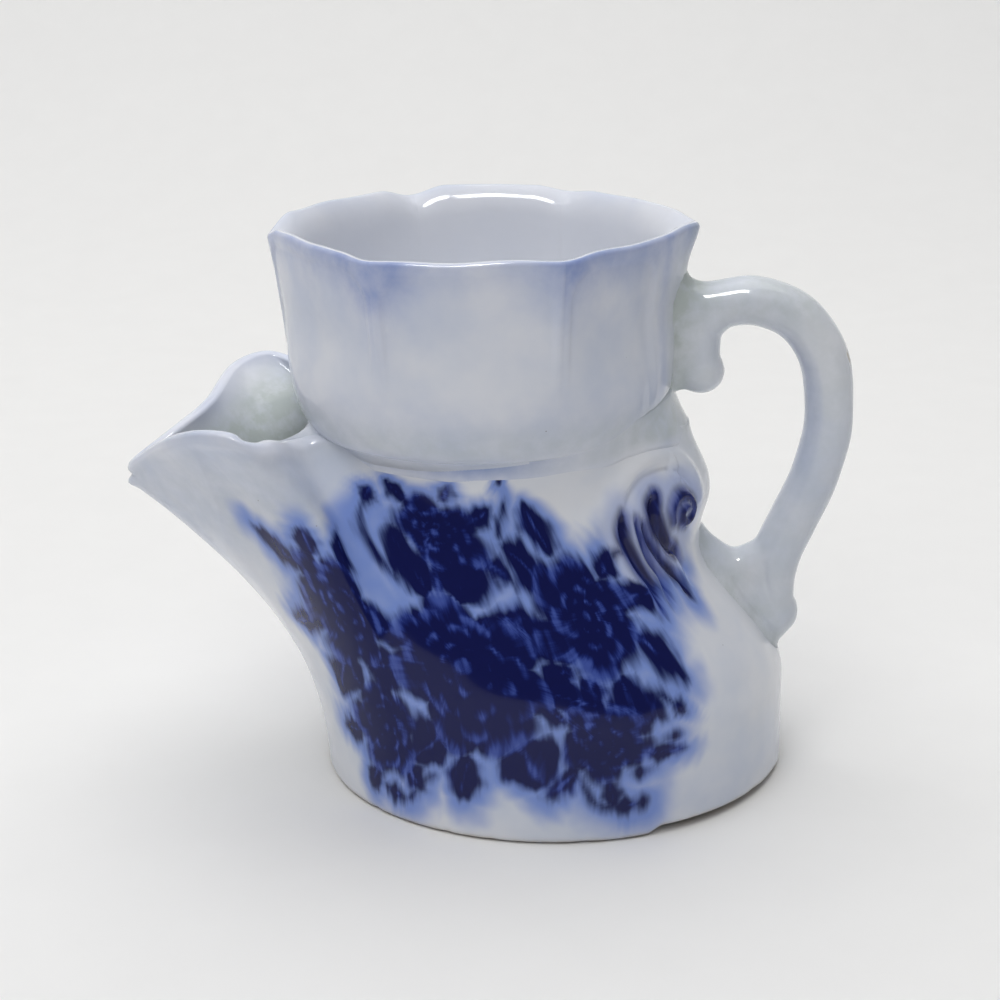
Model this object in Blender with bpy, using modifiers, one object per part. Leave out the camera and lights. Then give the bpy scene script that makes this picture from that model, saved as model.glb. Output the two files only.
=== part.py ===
# Shaving scuttle: a water chamber with a pouring spout, a panelled soap bowl seated on it and a loop handle
from math import atan2, cos, exp, hypot, pi, radians, sin

import bmesh
import bpy
from mathutils import Vector

MM = 0.001

# Overall size, spout tip to handle back along X
LENGTH = 152 * MM
HEIGHT = 117 * MM

# Joints between pieces
CLEARANCE = 0.3 * MM
SLIP = 1.3 * MM

# Foot and chamber
FOOT_LENGTH = 98 * MM
FOOT_WIDTH = 90.6 * MM
FOOT_ARCH = 1.1 * MM
HANDLE_OVERHANG = 13.1 * MM
BODY_WALL = 4.2 * MM
BASE_RECESS = 1.6 * MM
BASE_THICK = 5 * MM

# Spout: a narrow beak between two ear-shaped lobes
TIP_HEIGHT = 64.5 * MM
BEAK_LENGTH = 14.5 * MM
BEAK_HALF = 14 * MM
BEAK_RISE = 9.4 * MM
KEEL_ROUND = 1.7
EAR_HALF = 35.5 * MM
EAR_HEIGHT = 79.8 * MM
EAR_LENGTH = 14 * MM
LIP_WALL = 3 * MM
LIP_NOSE = 0.0625
FLARE = 2.2
EAR_SLOPE = 1.6 * MM

# Soap bowl, its axis a little towards the spout from the middle of the length
BOWL_OFFSET = 0.2 * MM
SEAT_HEIGHT = 74.6 * MM
SEAT_RADIUS = 33 * MM
RIM_RADIUS = 43.5 * MM
BOWL_WALL = 3.4 * MM
BOWL_SWELL = 0.35
CORNER_TURN = 65
PANEL_BULGE = 0.45
PANEL_RECESS = 0.6 * MM
PILASTER = 3 * MM
PILASTER_EDGE = 1.2 * MM
RIM_DIP = 2.2 * MM
DIP_HALF = 5 * MM
DIP_FADE = 8 * MM
ROUND_TOP = 6 * MM
CORNERS_FULL = 26 * MM
PANEL_FOOT = 10 * MM
PANEL_FULL = 18 * MM
PANEL_HEAD = 6 * MM
PANEL_END = 3 * MM

# Pierced floor of the bowl
FLOOR_THICK = 4.4 * MM
FLOOR_LEDGE = 3 * MM
DRAIN_RADIUS = 2.4 * MM
DRAIN_CIRCLE = 13 * MM
DRAINS = 6

# Neck under the bowl, the collar that climbs it on the handle side and the moulded bulge below
NECK_FLARE = 3 * MM
NECK_PINCH = 0.5 * MM
NECK_LIFT = 2 * MM
NECK_DIP = 0.6 * MM
COLLAR_RADIUS = 41.8 * MM
COLLAR_CLIMB = 3.4 * MM
BULGE = 5.4 * MM
BULGE_HEIGHT = 60 * MM
BULGE_SPREAD = 7 * MM

# Handle
HANDLE_WIDTH = 12 * MM
HANDLE_DEPTH = 10.2 * MM
RIM_TO_HANDLE = 13.3 * MM
HANDLE_FOOT = 27.5 * MM
DROP_REACH = 20 * MM
BEAD_RADIUS = 2 * MM
BLEND_VOXEL = 0.7 * MM

TIP_X = -LENGTH / 2
BACK_X = LENGTH / 2
FOOT_X = BACK_X - HANDLE_OVERHANG - FOOT_LENGTH / 2
BOWL_X = -BOWL_OFFSET
HANDLE_TOP = HEIGHT - RIM_TO_HANDLE
SEAM = CLEARANCE / 2
ROOT_GAP = SLIP + 2 * CLEARANCE

for old in list(bpy.data.objects):
    bpy.data.objects.remove(old, do_unlink=True)
for old in list(bpy.data.collections):
    bpy.data.collections.remove(old)
parts = bpy.data.collections.new("shaving_scuttle")
cutters = bpy.data.collections.new("cutters")
bpy.context.scene.collection.children.link(parts)
bpy.context.scene.collection.children.link(cutters)


def ease(low, high, value):
    share = min(1, max(0, (value - low) / (high - low)))
    return share * share * (3 - 2 * share)


def mix(a, b, share):
    return a + (b - a) * share


def finish(bm, name):
    mesh = bpy.data.meshes.new(name)
    bm.to_mesh(mesh)
    bm.free()
    return bpy.data.objects.new(name, mesh)


def keep(obj, colour, roughness):
    material = bpy.data.materials.new(obj.name + "_glaze")
    material.use_nodes = True
    shader = material.node_tree.nodes["Principled BSDF"]
    shader.inputs["Base Color"].default_value = (*colour, 1)
    shader.inputs["Roughness"].default_value = roughness
    obj.data.materials.clear()
    obj.data.materials.append(material)
    obj.data.shade_smooth()
    obj.data.set_sharp_from_angle(angle=radians(40))
    parts.objects.link(obj)
    return obj


def cutter(obj):
    cutters.objects.link(obj)
    obj.hide_render = True
    obj.display_type = "WIRE"
    return obj


def boolean(obj, tool, operation):
    step = obj.modifiers.new(tool.name, "BOOLEAN")
    step.operation = operation
    step.solver = "EXACT"
    step.object = tool


def settle(obj):
    bpy.context.view_layer.update()
    graph = bpy.context.evaluated_depsgraph_get()
    mesh = bpy.data.meshes.new_from_object(obj.evaluated_get(graph))
    bm = bmesh.new()
    bm.from_mesh(mesh)
    bmesh.ops.remove_doubles(bm, verts=bm.verts[:], dist=0.005 * MM)
    bmesh.ops.recalc_face_normals(bm, faces=bm.faces[:])
    bm.to_mesh(mesh)
    bm.free()
    obj.modifiers.clear()
    return mesh


# Rim of the chamber from the spout tip round to the handle: x, y, z and the foot angle below each point
def round_bowl(turn, radius, lift):
    angle = radians(turn)
    return (BOWL_X - radius * cos(angle), radius * sin(angle), SEAT_HEIGHT + lift)


EAR_X = TIP_X + BEAK_LENGTH + 0.25 * EAR_LENGTH
BEAK_TOP = TIP_HEIGHT + BEAK_RISE
rim_keys = [
    (TIP_X, 0, TIP_HEIGHT, 0),
    (TIP_X + 0.58 * BEAK_LENGTH, 0.42 * BEAK_HALF, mix(TIP_HEIGHT, BEAK_TOP, 0.64), 9),
    (TIP_X + BEAK_LENGTH, BEAK_HALF, BEAK_TOP, 20),
    (EAR_X, 0.82 * EAR_HALF, EAR_HEIGHT - EAR_SLOPE, 33),
    (EAR_X + 0.42 * EAR_LENGTH, EAR_HALF, EAR_HEIGHT, 42),
    (EAR_X + 1.05 * EAR_LENGTH, 0.92 * EAR_HALF, EAR_HEIGHT - EAR_SLOPE, 51),
    (*round_bowl(38, SEAT_RADIUS + NECK_FLARE, NECK_LIFT - NECK_DIP), 63),
    (*round_bowl(90, SEAT_RADIUS - NECK_PINCH, NECK_LIFT), 92),
    (*round_bowl(138, SEAT_RADIUS + NECK_FLARE, NECK_LIFT), 140),
    (BOWL_X + COLLAR_RADIUS, 0, SEAT_HEIGHT + COLLAR_CLIMB, 180),
]
LAST = len(rim_keys) - 1


def rim_at(turn):
    first = min(int(turn), LAST - 1)
    share = turn - first
    before = rim_keys[first - 1] if first else rim_keys[1]
    after = rim_keys[first + 2] if first + 2 <= LAST else rim_keys[LAST - 1]
    if first == 0:
        before = (before[0], -before[1], before[2], -before[3])
    if first + 2 > LAST:
        after = (after[0], -after[1], after[2], 360 - after[3])
    here = []
    for a, b, c, d in zip(before, rim_keys[first], rim_keys[first + 1], after):
        bend = 2 * b + (c - a) * share + (2 * a - 5 * b + 4 * c - d) * share**2
        here.append(0.5 * (bend + (3 * b - a - 3 * c + d) * share**3))
    return here


# The foot stands on the table except for a shallow arch on each side below the handle
def foot_lift(turn):
    return FOOT_ARCH * ease(7.4, 7.6, turn) * (1 - ease(8.55, 8.75, turn))


def body_outer(turn, rise):
    x, y, top, angle = rim_at(turn)
    y *= mix(KEEL_ROUND, 1, max(ease(0.55, 1, rise), ease(0.3, 3, turn)))
    foot_x = FOOT_X - FOOT_LENGTH / 2 * cos(radians(angle))
    foot_y = FOOT_WIDTH / 2 * sin(radians(angle))
    neck = ease(0.25, 1 - 0.28 * ease(7, LAST, turn), rise)
    nose = 1 - LIP_NOSE * (1 - ease(0.5, 3, turn))
    lean = mix(min(1, rise / nose) ** FLARE, neck, ease(5, 7, turn))
    px = mix(foot_x, x, lean)
    py = mix(foot_y, y, lean)
    pz = mix(foot_lift(turn), top, rise)
    swell = BULGE * exp(-0.5 * ((pz - BULGE_HEIGHT) / BULGE_SPREAD) ** 2) * ease(7.2, 8.6, turn)
    away = atan2(py, px - BOWL_X)
    return Vector((px + swell * cos(away), py + swell * sin(away), pz))


def body_normal(turn, rise):
    low_turn = max(0, turn - 0.25)
    high_turn = min(LAST, turn + 0.25)
    low_rise = max(0, rise - 0.02)
    high_rise = min(1, rise + 0.02)
    along = body_outer(high_turn, rise) - body_outer(low_turn, rise)
    upward = body_outer(turn, high_rise) - body_outer(turn, low_rise)
    if turn == 0 or turn == LAST:
        along = Vector((0, 1 if turn == 0 else -1, 0))
    return upward.cross(along).normalized()


def body_skin(turn, rise, grow):
    point = body_outer(turn, rise)
    moved = point + body_normal(turn, rise) * grow
    if rise == 0:
        moved.z = point.z
    moved.y = max(moved.y, 0.25 * point.y, 0)
    return moved


def body_inner(turn, rise):
    spout = 1 - ease(5, 7, turn)
    wall = mix(BODY_WALL, LIP_WALL, ease(0.75, 1, rise) * spout)
    return body_skin(turn, rise, -wall)


TURNS = 42
RISES = 16


# Half of the chamber as a shell, from the seam at the spout tip to the seam behind the handle
def half_body(name, side):
    bm = bmesh.new()
    bmesh.ops.create_grid(bm, x_segments=TURNS, y_segments=RISES, size=0.5)
    lifted = bmesh.ops.extrude_face_region(bm, geom=bm.faces[:])
    outside = {v for v in lifted["geom"] if isinstance(v, bmesh.types.BMVert)}
    for v in bm.verts:
        turn = LAST * round((v.co.x + 0.5) * TURNS) / TURNS
        rise = round((v.co.y + 0.5) * RISES) / RISES
        v.co = body_outer(turn, rise) if v in outside else body_inner(turn, rise)
        v.co.y = side * max(v.co.y, SEAM)
    bmesh.ops.recalc_face_normals(bm, faces=bm.faces[:])
    return finish(bm, name)


# The chamber's outside as one solid, made larger by a gap, to trim what sits against it
def body_block(name, grow):
    bm = bmesh.new()
    around = 2 * TURNS
    bmesh.ops.create_grid(bm, x_segments=around, y_segments=RISES + 2, size=0.5)
    for v in bm.verts:
        column = round((v.co.x + 0.5) * around)
        row = round((v.co.y + 0.5) * (RISES + 2))
        side = 1 if column <= TURNS else -1
        turn = LAST * (column if side > 0 else around - column) / TURNS
        rise = min(1, max(0, (row - 1) / RISES))
        point = body_skin(turn, rise, grow)
        if row == 0:
            point = Vector((FOOT_X, 0, 0))
        if row == RISES + 2:
            point = Vector((BOWL_X, 0, SEAT_HEIGHT))
        point.y *= side
        v.co = point
    bmesh.ops.remove_doubles(bm, verts=bm.verts[:], dist=0.001 * MM)
    bmesh.ops.recalc_face_normals(bm, faces=bm.faces[:])
    return cutter(finish(bm, name))


# Soap bowl: six swelling panels between narrow pilasters, round at the seat
PANEL_STEPS = (0, 0.035, 0.065, 0.16, 0.28, 0.42, 0.58, 0.72, 0.84, 0.935, 0.965)
corners = []
for turn in (0, CORNER_TURN, 180 - CORNER_TURN, 180, 180 + CORNER_TURN, 360 - CORNER_TURN, 360):
    corners.append(radians(turn))
PANELS = len(corners) - 1
AROUND = PANELS * len(PANEL_STEPS)


def panel_angle(column):
    panel, step = divmod(column, len(PANEL_STEPS))
    return mix(corners[panel], corners[panel + 1], PANEL_STEPS[step])


# How far an angle lies past the corner before it, and short of the corner after it
def between_corners(angle):
    turn = angle % (2 * pi)
    panel = 0
    while panel < PANELS - 1 and turn >= corners[panel + 1]:
        panel += 1
    return turn - corners[panel], corners[panel + 1] - turn


def from_corner(angle):
    return min(between_corners(angle))


def bowl_plan(angle, height):
    past, short = between_corners(angle)
    straight = cos((past + short) / 2) / cos((past - short) / 2)
    panelled = 1 - (1 - PANEL_BULGE) * (1 - straight)
    return mix(1, panelled, ease(SEAT_HEIGHT + ROUND_TOP, SEAT_HEIGHT + CORNERS_FULL, height))


def bowl_outer(angle, height):
    share = max(0, height - SEAT_HEIGHT) / (HEIGHT - SEAT_HEIGHT)
    radius = mix(SEAT_RADIUS, RIM_RADIUS, share**BOWL_SWELL) * bowl_plan(angle, height)
    beside = from_corner(angle) * radius - PILASTER / 2
    panel = ease(0, PILASTER_EDGE, beside)
    panel *= ease(SEAT_HEIGHT + PANEL_FOOT, SEAT_HEIGHT + PANEL_FULL, height)
    return radius - PANEL_RECESS * panel * (1 - ease(HEIGHT - PANEL_HEAD, HEIGHT - PANEL_END, height))


FLOOR_TOP = SEAT_HEIGHT + FLOOR_THICK
FLOOR_RADIUS = SEAT_RADIUS - FLOOR_LEDGE


def bowl_inner(angle, height):
    share = max(0, height - FLOOR_TOP) / (HEIGHT - FLOOR_TOP)
    rim = RIM_RADIUS - BOWL_WALL
    return mix(FLOOR_RADIUS, rim, share**BOWL_SWELL) * mix(1, bowl_plan(angle, height), share)


RIM_ROUND = BOWL_WALL / 2
SHOULDER = HEIGHT - RIM_ROUND
OUTER_ROWS = 9
RIM_ROWS = 4
INNER_ROWS = 7


def bowl_section(row):
    if row <= OUTER_ROWS:
        share = (row / OUTER_ROWS) ** 2
        return "outer", mix(SEAT_HEIGHT, SHOULDER, share)
    row -= OUTER_ROWS
    if row < RIM_ROWS:
        return "rim", pi * row / RIM_ROWS
    row -= RIM_ROWS
    share = (1 - row / INNER_ROWS) ** 2
    return "inner", mix(FLOOR_TOP, SHOULDER, share)


BOWL_ROWS = OUTER_ROWS + RIM_ROWS + INNER_ROWS


def bowl_point(column, row):
    angle = panel_angle(column % AROUND)
    where, value = bowl_section(row)
    if where == "outer":
        radius = bowl_outer(angle, value)
        height = value
    elif where == "inner":
        radius = bowl_inner(angle, value)
        height = value
    else:
        middle = (bowl_outer(angle, SHOULDER) + bowl_inner(angle, SHOULDER)) / 2
        half = (bowl_outer(angle, SHOULDER) - bowl_inner(angle, SHOULDER)) / 2
        radius = middle + half * cos(value)
        height = SHOULDER + RIM_ROUND * sin(value)
    dip = RIM_DIP * (1 - ease(0, DIP_HALF, from_corner(angle) * RIM_RADIUS))
    height -= dip * ease(HEIGHT - DIP_FADE, SHOULDER, height)
    return Vector((BOWL_X + radius * cos(angle), radius * sin(angle), height))


def bowl_wall(name):
    bm = bmesh.new()
    rows = BOWL_ROWS + 2
    bmesh.ops.create_grid(bm, x_segments=AROUND, y_segments=rows, size=0.5)
    for v in bm.verts:
        column = round((v.co.x + 0.5) * AROUND)
        row = round((v.co.y + 0.5) * rows)
        if row <= BOWL_ROWS:
            v.co = bowl_point(column, row)
        elif row == BOWL_ROWS + 1:
            angle = panel_angle(column % AROUND)
            v.co = (BOWL_X + FLOOR_RADIUS * cos(angle), FLOOR_RADIUS * sin(angle), SEAT_HEIGHT)
        else:
            v.co = bowl_point(column, 0)
    bmesh.ops.remove_doubles(bm, verts=bm.verts[:], dist=0.001 * MM)
    bmesh.ops.recalc_face_normals(bm, faces=bm.faces[:])
    return finish(bm, name)


# The bowl's outside as one solid, made larger by a gap
def bowl_block(name, grow):
    bm = bmesh.new()
    rows = OUTER_ROWS + 3
    bmesh.ops.create_grid(bm, x_segments=AROUND, y_segments=rows, size=0.5)
    for v in bm.verts:
        column = round((v.co.x + 0.5) * AROUND)
        row = round((v.co.y + 0.5) * rows)
        angle = panel_angle(column % AROUND)
        if row == 0:
            v.co = (BOWL_X, 0, SEAT_HEIGHT - grow)
        elif row == rows:
            v.co = (BOWL_X, 0, HEIGHT + grow)
        elif row == rows - 1:
            radius = bowl_outer(angle, SHOULDER) + grow
            v.co = (BOWL_X + radius * cos(angle), radius * sin(angle), HEIGHT + grow)
        else:
            height = mix(SEAT_HEIGHT, SHOULDER, ((row - 1) / OUTER_ROWS) ** 2)
            radius = bowl_outer(angle, height) + grow
            lift = mix(-grow, grow, (row - 1) / OUTER_ROWS)
            v.co = (BOWL_X + radius * cos(angle), radius * sin(angle), height + lift)
    bmesh.ops.remove_doubles(bm, verts=bm.verts[:], dist=0.001 * MM)
    bmesh.ops.recalc_face_normals(bm, faces=bm.faces[:])
    return cutter(finish(bm, name))


bowl_gap = bowl_block("bowl_gap", CLEARANCE)
bowl_root = bowl_block("bowl_root", ROOT_GAP)
bowl_slip = bowl_block("bowl_slip", CLEARANCE + SLIP)
body_gap = body_block("body_gap", CLEARANCE)
body_root = body_block("body_root", ROOT_GAP)
body_slip = body_block("body_slip", CLEARANCE + SLIP)

WHITE = (0.74, 0.77, 0.83)
BLUE = (0.35, 0.42, 0.62)

front = keep(half_body("body_front", -1), WHITE, 0.12)
back = keep(half_body("body_back", 1), WHITE, 0.12)
boolean(front, bowl_gap, "DIFFERENCE")
boolean(back, bowl_gap, "DIFFERENCE")
bowl = keep(bowl_wall("soap_bowl"), WHITE, 0.1)


# Flat bats: the bottom of the chamber and the pierced floor of the bowl
def disc(name, length, width, thick, x, bottom):
    bm = bmesh.new()
    bmesh.ops.create_cone(bm, cap_ends=True, segments=64, radius1=0.5, radius2=0.5, depth=thick)
    bmesh.ops.scale(bm, vec=(length, width, 1), verts=bm.verts[:])
    bmesh.ops.translate(bm, vec=(x, 0, bottom + thick / 2), verts=bm.verts[:])
    return finish(bm, name)


INSET = 2 * (BODY_WALL + CLEARANCE)
base = disc("base_plate", FOOT_LENGTH - INSET, FOOT_WIDTH - INSET, BASE_THICK, FOOT_X, BASE_RECESS)
base_hold = body_block("base_hold", -BODY_WALL - CLEARANCE)
boolean(base, base_hold, "INTERSECT")
keep(base, WHITE, 0.25)
plate_size = 2 * (FLOOR_RADIUS - CLEARANCE)
plate = disc("soap_floor", plate_size, plate_size, FLOOR_THICK, BOWL_X, SEAT_HEIGHT)
drains = bmesh.new()
for index in range(DRAINS + 1):
    angle = 2 * pi * index / DRAINS
    reach = DRAIN_CIRCLE if index < DRAINS else 0
    hole = bmesh.ops.create_cone(
        drains,
        cap_ends=True,
        segments=16,
        radius1=DRAIN_RADIUS,
        radius2=DRAIN_RADIUS,
        depth=3 * FLOOR_THICK,
    )
    middle = (BOWL_X + reach * cos(angle), reach * sin(angle), SEAT_HEIGHT)
    bmesh.ops.translate(drains, vec=middle, verts=hole["verts"])
boolean(plate, cutter(finish(drains, "drain_holes")), "DIFFERENCE")
keep(plate, WHITE, 0.15)


# Tubes along smooth paths: the handle, its drop, its terminal and the bead at the neck
def tube(name, points, radius, squash):
    curve = bpy.data.curves.new(name + "_path", "CURVE")
    curve.dimensions = "3D"
    curve.bevel_depth = radius
    curve.bevel_resolution = 3
    curve.resolution_u = 5
    curve.use_fill_caps = True
    spline = curve.splines.new("BEZIER")
    spline.bezier_points.add(len(points) - 1)
    for knot, (place, scale) in zip(spline.bezier_points, points):
        knot.co = place
        knot.radius = scale
        knot.handle_left_type = "AUTO"
        knot.handle_right_type = "AUTO"
    holder = bpy.data.objects.new(name + "_path", curve)
    bpy.context.scene.collection.objects.link(holder)
    mesh = settle(holder)
    bpy.data.objects.remove(holder, do_unlink=True)
    mesh.name = name
    for v in mesh.vertices:
        v.co.y *= squash
    return bpy.data.objects.new(name, mesh)


def ball(name, x, z, across, tall):
    bm = bmesh.new()
    bmesh.ops.create_uvsphere(bm, u_segments=20, v_segments=12, radius=1)
    bmesh.ops.scale(bm, vec=(across, HANDLE_WIDTH / 2, tall), verts=bm.verts[:])
    bmesh.ops.translate(bm, vec=(x, 0, z), verts=bm.verts[:])
    return cutter(finish(bm, name))


GRIP = HANDLE_DEPTH / 2
BOW_X = BACK_X - GRIP
ARCH_Z = HANDLE_TOP - GRIP
WALL_X = BOWL_X + RIM_RADIUS
BOW_DROP = ARCH_Z - HANDLE_FOOT


def loop(share_x, share_z):
    return (mix(WALL_X, BOW_X, share_x), 0, ARCH_Z - share_z * BOW_DROP)


loop_path = [
    (loop(-0.2, 0.03), 1.3),
    (loop(0.12, 0.005), 1.14),
    (loop(0.52, 0.002), 1.0),
    (loop(0.85, 0.088), 1.0),
    (loop(1.0, 0.3), 1.0),
    (loop(0.93, 0.49), 1.0),
    (loop(0.76, 0.65), 1.0),
    (loop(0.64, 0.77), 1.0),
    (loop(0.61, 0.87), 0.96),
    (loop(0.625, 0.935), 0.92),
]
squash = HANDLE_WIDTH / HANDLE_DEPTH
handle = tube("handle", loop_path, GRIP, squash)
DROP_X = WALL_X + 0.1 * GRIP
drop_path = [
    ((DROP_X, 0, ARCH_Z), 1.0),
    ((DROP_X + 0.12 * GRIP, 0, ARCH_Z - 0.5 * DROP_REACH), 0.98),
    ((DROP_X - 0.04 * GRIP, 0, ARCH_Z - 0.72 * DROP_REACH), 0.9),
]
drop = cutter(tube("handle_drop", drop_path, GRIP, 0.94 * squash))
drop_end = ball("drop_end", DROP_X - 0.04 * GRIP, ARCH_Z - 0.72 * DROP_REACH, 1.06 * GRIP, 1.1 * GRIP)
end_x, _, end_z = loop(0.625, 0.935)
toe = ball("handle_toe", end_x, end_z, 1.07 * GRIP, 1.05 * GRIP)
web_path = [
    (loop(0.7, 0.72), 0.8),
    (loop(0.47, 0.79), 0.9),
    (loop(0.28, 0.8), 0.85),
    (loop(0.05, 0.75), 0.85),
]
web = cutter(tube("handle_web", web_path, GRIP, 0.9 * squash))
sole_path = [
    (loop(-0.1, 0.69), 0.7),
    (loop(0.34, 0.835), 0.95),
    (loop(0.58, 0.94), 0.9),
]
sole = cutter(tube("handle_sole", sole_path, GRIP, 0.95 * squash))
boolean(handle, drop, "UNION")
boolean(handle, drop_end, "UNION")
boolean(handle, toe, "UNION")
boolean(handle, web, "UNION")
boolean(handle, sole, "UNION")
blend = handle.modifiers.new("blend", "REMESH")
blend.mode = "VOXEL"
blend.voxel_size = BLEND_VOXEL
soften = handle.modifiers.new("soften", "SMOOTH")
soften.factor = 0.5
soften.iterations = 10
lighten = handle.modifiers.new("lighten", "DECIMATE")
lighten.ratio = 0.075
boolean(handle, bowl_root, "DIFFERENCE")
boolean(handle, body_root, "DIFFERENCE")
keep(handle, WHITE, 0.1)


# Slip layers that join the handle, a little wider than the handle where it meets the wall
def pad(name, sources, layer, gap, other):
    first, *rest = sources
    wide = bpy.data.objects.new(name, first.data.copy())
    for tool in rest:
        boolean(wide, tool, "UNION")
    boolean(wide, layer, "INTERSECT")
    boolean(wide, gap, "DIFFERENCE")
    boolean(wide, other, "DIFFERENCE")
    return keep(wide, BLUE, 0.2)


SPREAD = 1.12
wide_loop = [(place, scale * SPREAD) for place, scale in loop_path]
wide_drop = [(place, scale * SPREAD) for place, scale in drop_path]
top_root = cutter(tube("top_root", wide_loop[:3], GRIP, squash))
top_drop = cutter(tube("top_drop", wide_drop, GRIP, squash))
top_end = ball("top_end", DROP_X - 0.04 * GRIP, ARCH_Z - 0.72 * DROP_REACH, 1.18 * GRIP, 1.22 * GRIP)
pad("handle_top_pad", [top_root, top_drop, top_end], bowl_slip, bowl_gap, body_gap)
wide_web = [(place, scale * SPREAD) for place, scale in web_path]
foot_root = cutter(tube("foot_root", wide_loop[6:], GRIP, squash))
foot_web = cutter(tube("foot_web", wide_web, GRIP, 0.9 * squash))
wide_sole = [(place, scale * SPREAD) for place, scale in sole_path]
foot_sole = cutter(tube("foot_sole", wide_sole, GRIP, 0.95 * squash))
foot_end = ball("foot_end", end_x, end_z, 1.16 * GRIP, 1.14 * GRIP)
pad("handle_foot_pad", [foot_sole, foot_root, foot_web, foot_end], body_slip, body_gap, bowl_gap)


# Bead of slip in the crease between chamber and bowl, open at the spout
def crease(turn):
    low = 0.6
    high = 1.0
    for _ in range(30):
        rise = (low + high) / 2
        point = body_outer(turn, rise)
        angle = atan2(point.y, point.x - BOWL_X)
        reach = hypot(point.x - BOWL_X, point.y)
        inside = point.z > SEAT_HEIGHT and reach < bowl_outer(angle, point.z)
        if inside:
            high = rise
        else:
            low = rise
    return body_outer(turn, high)


BEAD_STEPS = 12
BEAD_START = 6.35
BEAD_END = 8.72
crease_points = [crease(mix(BEAD_START, BEAD_END, i / BEAD_STEPS)) for i in range(BEAD_STEPS + 1)]
for name, side in (("neck_bead_front", -1), ("neck_bead_back", 1)):
    bead_path = []
    for step, p in enumerate(crease_points):
        bead_path.append(((p.x, side * p.y, p.z), 0.55 if step in (0, BEAD_STEPS) else 1.0))
    bead = tube(name, bead_path, BEAD_RADIUS, 1.0)
    boolean(bead, bowl_gap, "DIFFERENCE")
    boolean(bead, body_gap, "DIFFERENCE")
    keep(bead, BLUE, 0.2)
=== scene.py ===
import math

import bpy
import numpy as np
from mathutils import Matrix, Vector
from mathutils.bvhtree import BVHTree


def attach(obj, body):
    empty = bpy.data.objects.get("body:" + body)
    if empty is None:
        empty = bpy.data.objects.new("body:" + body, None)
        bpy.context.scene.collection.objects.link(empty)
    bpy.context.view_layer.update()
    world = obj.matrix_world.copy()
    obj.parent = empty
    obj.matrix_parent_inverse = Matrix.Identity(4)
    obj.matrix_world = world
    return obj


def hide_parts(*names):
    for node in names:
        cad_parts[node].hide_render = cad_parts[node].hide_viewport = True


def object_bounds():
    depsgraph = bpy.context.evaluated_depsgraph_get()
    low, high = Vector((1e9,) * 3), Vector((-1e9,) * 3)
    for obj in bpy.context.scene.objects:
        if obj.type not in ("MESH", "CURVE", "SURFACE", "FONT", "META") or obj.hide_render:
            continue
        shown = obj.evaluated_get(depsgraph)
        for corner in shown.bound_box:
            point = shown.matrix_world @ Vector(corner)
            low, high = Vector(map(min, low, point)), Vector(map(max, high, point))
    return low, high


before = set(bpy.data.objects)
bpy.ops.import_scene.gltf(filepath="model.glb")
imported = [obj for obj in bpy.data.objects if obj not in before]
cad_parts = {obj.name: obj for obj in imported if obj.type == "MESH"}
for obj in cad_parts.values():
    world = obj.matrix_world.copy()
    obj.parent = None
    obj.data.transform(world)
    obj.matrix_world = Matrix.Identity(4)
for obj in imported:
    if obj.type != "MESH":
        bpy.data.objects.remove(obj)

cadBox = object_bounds()
mm = 0.001
seamGap = 0.004  # mm, points closer than this become one
sliver = 0.001  # mm, edges shorter than this are dropped
print("frame loaded:", len(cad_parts), "nodes")


# small helpers

def ease(low, high, value):  # 0 before low, 1 past high, smooth between
    share = np.clip((value - low) / (high - low), 0, 1)
    return share * share * (3 - 2 * share)


def mix(a, b, share):
    return a + (b - a) * share


def bell(value, width):
    return np.exp(-((value / width) ** 2))


def touch(hump, place):  # a soft hump of (strength, middle, half width)
    strength, middle, half = hump
    return strength * bell(place - middle, half)


def unit(vectors):
    return vectors / np.linalg.norm(vectors, axis=-1, keepdims=True)


def levelWay(angle):  # outward and level
    return np.stack([np.cos(angle), np.sin(angle), np.zeros_like(angle)], -1)


def mirrorOf(side):  # puts each point on its own side of the mould seam
    return np.stack([np.ones_like(side), side, np.ones_like(side)], -1)


def choose(masks, parts, rest):  # for each point the first part whose mask holds
    return np.select([mask[:, None] for mask in masks], parts, rest)


def throughPoints(a, b, c, d, t):  # a smooth curve from b to c, led by a and d
    return (2 * b + (c - a) * t + (2 * a - 5 * b + 4 * c - d) * t**2 + (3 * b - a - 3 * c + d) * t**3) / 2


def wobble(points, size, seed, waves=7):  # soft unevenness of hand-finished clay, about -1 to 1
    draw = np.random.default_rng(seed)
    total = np.zeros(len(points))
    for _ in range(waves):
        way = unit(draw.normal(size=3)) * 2 * np.pi / size
        total += np.sin(points @ way + draw.uniform(0, 2 * np.pi))
    return 2 * total / waves


def twoWobbles(points, broad, fine, seed):
    return 0.6 * wobble(points, broad, seed) + 0.4 * wobble(points, fine, seed + 1)


def clearSelection():
    if bpy.context.mode != "OBJECT":
        bpy.ops.object.mode_set(mode="OBJECT")
    bpy.ops.object.select_all(action="DESELECT")


def pick(piece):
    clearSelection()
    piece.select_set(True)
    bpy.context.view_layer.objects.active = piece


def editAll(piece):  # edit mode with everything selected
    pick(piece)
    bpy.ops.object.mode_set(mode="EDIT")
    bpy.ops.mesh.select_all(action="SELECT")


def faceOut():  # turns all faces outwards and leaves edit mode
    bpy.ops.mesh.select_all(action="SELECT")
    bpy.ops.mesh.normals_make_consistent(inside=False)
    bpy.ops.object.mode_set(mode="OBJECT")


def readPlaces(piece):  # vertex places in mm
    flat = np.zeros(len(piece.data.vertices) * 3)
    piece.data.vertices.foreach_get("co", flat)
    return flat.reshape(-1, 3) / mm


def writePlaces(piece, places):
    low = np.array(cadBox[0]) / mm
    high = np.array(cadBox[1]) / mm
    inside = np.clip(places, low, high)
    piece.data.vertices.foreach_set("co", (inside * mm).ravel())
    piece.data.update()


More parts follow.
